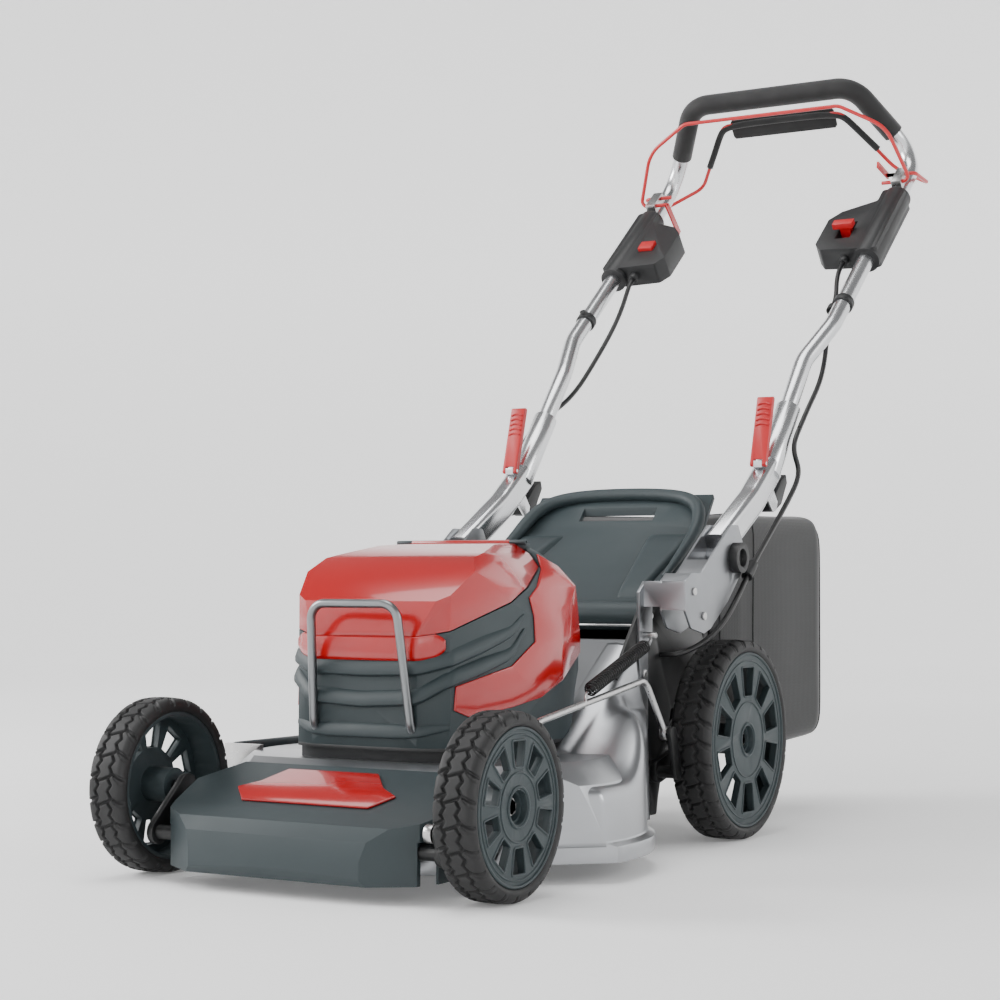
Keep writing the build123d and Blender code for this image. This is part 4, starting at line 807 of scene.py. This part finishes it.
def makeDeckShoulder(look):
    # pressed steel side of the deck: at each distance back, a smooth section runs from the tunnel's top,
    # down its side, out over a shoulder that climbs to the rear, and down the outer wall to the rim
    y = np.linspace(look["frontMm"], look["rearMm"], look["samplesAlong"])
    blend = np.clip((y - 240) / 160, 0, 1)
    shoulder = look["lowMm"] + look["riseMm"] * blend**2 * (3 - 2 * blend)
    outer = np.minimum(np.sqrt(np.clip(look["radiusMm"]**2 - (y - 222)**2, 0, None)), 66 + y)
    outer = np.maximum(outer, 168)
    top = np.interp(y, [120, 290, 340, 470], [136, 138, 172, 268])
    lift = np.maximum(top, shoulder + 2)
    controls = np.stack([
        np.column_stack([np.full_like(y, 112), lift - 2]), np.column_stack([np.full_like(y, 134), lift]),
        np.column_stack([np.full_like(y, 151), lift - 8]),
        np.column_stack([np.full_like(y, 156), 0.6 * lift + 0.4 * shoulder]),
        np.column_stack([0.3 * outer + 0.7 * 158, 0.1 * lift + 0.9 * shoulder]),
        np.column_stack([0.75 * outer + 0.25 * 158, shoulder]), np.column_stack([outer - 1.0, shoulder - 5]),
        np.column_stack([outer + 1.0, shoulder - 28]), np.column_stack([outer + 2.5, 0.5 * shoulder + 14]),
        np.column_stack([outer + 4.0, np.full_like(y, 40)])])
    section = smoothCurve(controls.reshape(len(controls), -1), look["samplesAcross"])
    section = section.reshape(look["samplesAcross"], -1, 2)
    grid = np.stack([section[..., 0] / 1000, np.broadcast_to(frontAxleY + y / 1000, section.shape[:2]),
                     section[..., 1] / 1000], -1)
    piece = meshObject("deckShoulder", grid, gridFaces(*grid.shape[:2]), silverPowderCoat)
    wall = piece.modifiers.new("sheetThickness", "SOLIDIFY")
    wall.thickness = look["thickMm"] / 1000
    wall.offset = 0
    place(piece, bodyOf["deck"], slotOf["deck"])


makeDeckShoulder(shoulderLook)

nutLook = {"radius": 0.0105, "height": 0.004, "sunkMm": 12.0}


def makeAxleNut(name, axle):
    # a hexagon head in the hub's recess: rings of six points, chamfered towards the face
    low, high = (np.array(corner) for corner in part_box(name + "_rim"))
    middle = 0.5 * (low + high)
    outward = np.sign(middle[0])
    start = (high[0] if outward > 0 else low[0]) - outward * nutLook["sunkMm"] / 1000
    rings = [(0.0, 0.3), (0.0, 1.0), (0.7, 1.0), (1.0, 0.86), (1.0, 0.02)]
    angle = np.arange(6) * math.pi / 3 + 0.3
    grid = np.array([np.column_stack([np.full(6, start + outward * share * nutLook["height"]),
                                      middle[1] + scale * nutLook["radius"] * np.cos(angle),
                                      middle[2] + scale * nutLook["radius"] * np.sin(angle)])
                     for share, scale in rings])
    piece = meshObject(name + "AxleNut", grid, gridFaces(len(rings), 6, wrapColumns=True)
                       + [list(range(6)), list(range(24, 30))], zincPlatedSteel, smooth=False)
    faceOutwards(piece)
    place(piece, axle, "bright_steel")


for wheelName in wheelNames:
    makeAxleNut(wheelName, "front_axle" if wheelName.startswith("front") else "rear_axle")

flapLook = {"archRadius": 0.0095, "wingHeightMm": 7.0, "wingSamples": 40}


def flapPoint(x, up, out):
    # a place on the flap: across, along its slope from the hinge, and out from its face, in mm
    lean = math.atan2(97, 171)
    return at(x, 513 + up * math.cos(lean) - out * math.sin(lean),
              310 + up * math.sin(lean) + out * math.cos(lean))


def makeFlapWing(side):
    # a raised field with soft edges: height = h (1 - |s|^8) (1 - |t|^8), narrowing upwards
    s, t = np.meshgrid(np.linspace(-1, 1, flapLook["wingSamples"]),
                       np.linspace(-1, 1, flapLook["wingSamples"]),
                       indexing="ij")
    up = 96 + 88 * t
    x = side * (104 + 26 * s + 10 * s * t - 4 * t)
    out = -1.5 + (flapLook["wingHeightMm"] + 1.5) * (1 - np.abs(s)**8) * (1 - np.abs(t)**8)
    lean = math.atan2(97, 171)
    grid = np.stack([x / 1000, frontAxleY + (513 + up * math.cos(lean) - out * math.sin(lean)) / 1000,
                     (310 + up * math.sin(lean) + out * math.cos(lean)) / 1000], -1)
    piece = meshObject("flapWing" + ("Left" if side > 0 else "Right"), grid, gridFaces(*grid.shape[:2]),
                       greyMouldedPolypropylene)
    wall = piece.modifiers.new("wallThickness", "SOLIDIFY")
    wall.thickness = 0.002
    wall.offset = -1
    shape = bmesh.new()
    shape.from_mesh(piece.data)
    if side * sum(face.normal.z for face in shape.faces) < 0 or sum(face.normal.z for face in shape.faces) < 0:
        bmesh.ops.reverse_faces(shape, faces=shape.faces)
    shape.to_mesh(piece.data)
    shape.free()
    place(piece, "flap", slotOf["rear_flap"])


for side in (1, -1):
    makeFlapWing(side)
archHalf = [flapPoint(141, 60, 3), flapPoint(140, 120, 4), flapPoint(138, 175, 6), flapPoint(133, 210, 14),
            flapPoint(118, 238, 20), flapPoint(88, 252, 22), flapPoint(40, 258, 23)]
archPath = smoothCurve(archHalf + [point * [-1, 1, 1] for point in archHalf[::-1]], 120)
archShare = np.linspace(-1, 1, 120)
arch = tubePiece("flapArch", archPath, flapLook["archRadius"] * (1 - 0.55 * np.abs(archShare)**4), 18,
                 (0, 0.8, 0.5),
                 greyMouldedPolypropylene)
place(arch, "flap", slotOf["rear_flap"])
print("flap detail made")

bailSleeveHalf = [at(150, 1332, 1042), at(128, 1310, 1068), at(112, 1293, 1088), at(100, 1287, 1096),
                  at(60, 1285, 1098),
                  at(0, 1285, 1098)]
bailSleevePath = smoothCurve(bailSleeveHalf + [point * [-1, 1, 1] for point in bailSleeveHalf[-2::-1]], 90)
bailSleeve = tubePiece("driveBailSleeve", bailSleevePath, 0.0054, 16, (0, 0.6, 0.8), closedCellFoam)
place(bailSleeve, "drive_bail", slotOf["hand_grip"])


def makeBailPad():
    # a rounded bar round the paddle, carried across; the section is a superellipse
    angle = np.linspace(0, 2 * math.pi, 28, endpoint=False)
    along = 10 + 17 * np.sign(np.cos(angle)) * np.abs(np.cos(angle))**0.4
    out = 5 + 3.6 * np.sign(np.sin(angle)) * np.abs(np.sin(angle))**0.4
    y = 1285 + 0.61 * along + 0.79 * out
    z = 1098 - 0.79 * along + 0.61 * out
    x = np.array([-92.0, -91.0, -88.0, 88.0, 91.0, 92.0])
    scale = np.array([0.02, 0.8, 1, 1, 0.8, 0.02])
    grid = np.stack([np.broadcast_to(x[:, None], (6, 28)), y.mean() + scale[:, None] * (y - y.mean()),
                     z.mean() + scale[:, None] * (z - z.mean())], -1)
    grid = np.stack([grid[..., 0] / 1000, frontAxleY + grid[..., 1] / 1000, grid[..., 2] / 1000], -1)
    faces = gridFaces(6, 28, wrapColumns=True) + [list(range(28)), list(range(140, 168))[::-1]]
    piece = meshObject("driveBailPad", grid, faces, closedCellFoam)
    faceOutwards(piece)
    place(piece, "drive_bail", slotOf["hand_grip"])


makeBailPad()

leverLook = {"ribs": 5, "ribRadius": 0.0014, "halfWidthMm": 9.5}
for side, leverBody in ((1, "cam_left"), (-1, "cam_right")):
    for number in range(leverLook["ribs"]):
        upwards = 54 + 7.5 * number
        across = np.linspace(-leverLook["halfWidthMm"], leverLook["halfWidthMm"], 9)
        bow = 2.5 * (1 - (across / leverLook["halfWidthMm"])**2)
        ribPath = np.column_stack([side * 0.196 + across / 1000,
                                   frontAxleY + (742 + 0.269 * (upwards + bow) - 0.963 * 4.2) / 1000,
                                   (497 + 0.963 * (upwards + bow) + 0.269 * 4.2) / 1000])
        leverRib = tubePiece(leverBody + "Rib" + str(number), ribPath, leverLook["ribRadius"], 8, (0, 0.3, 1),
                             redMouldedAbs)
        place(leverRib, leverBody, slotOf["cam_lever_left"])
print("handle detail made")
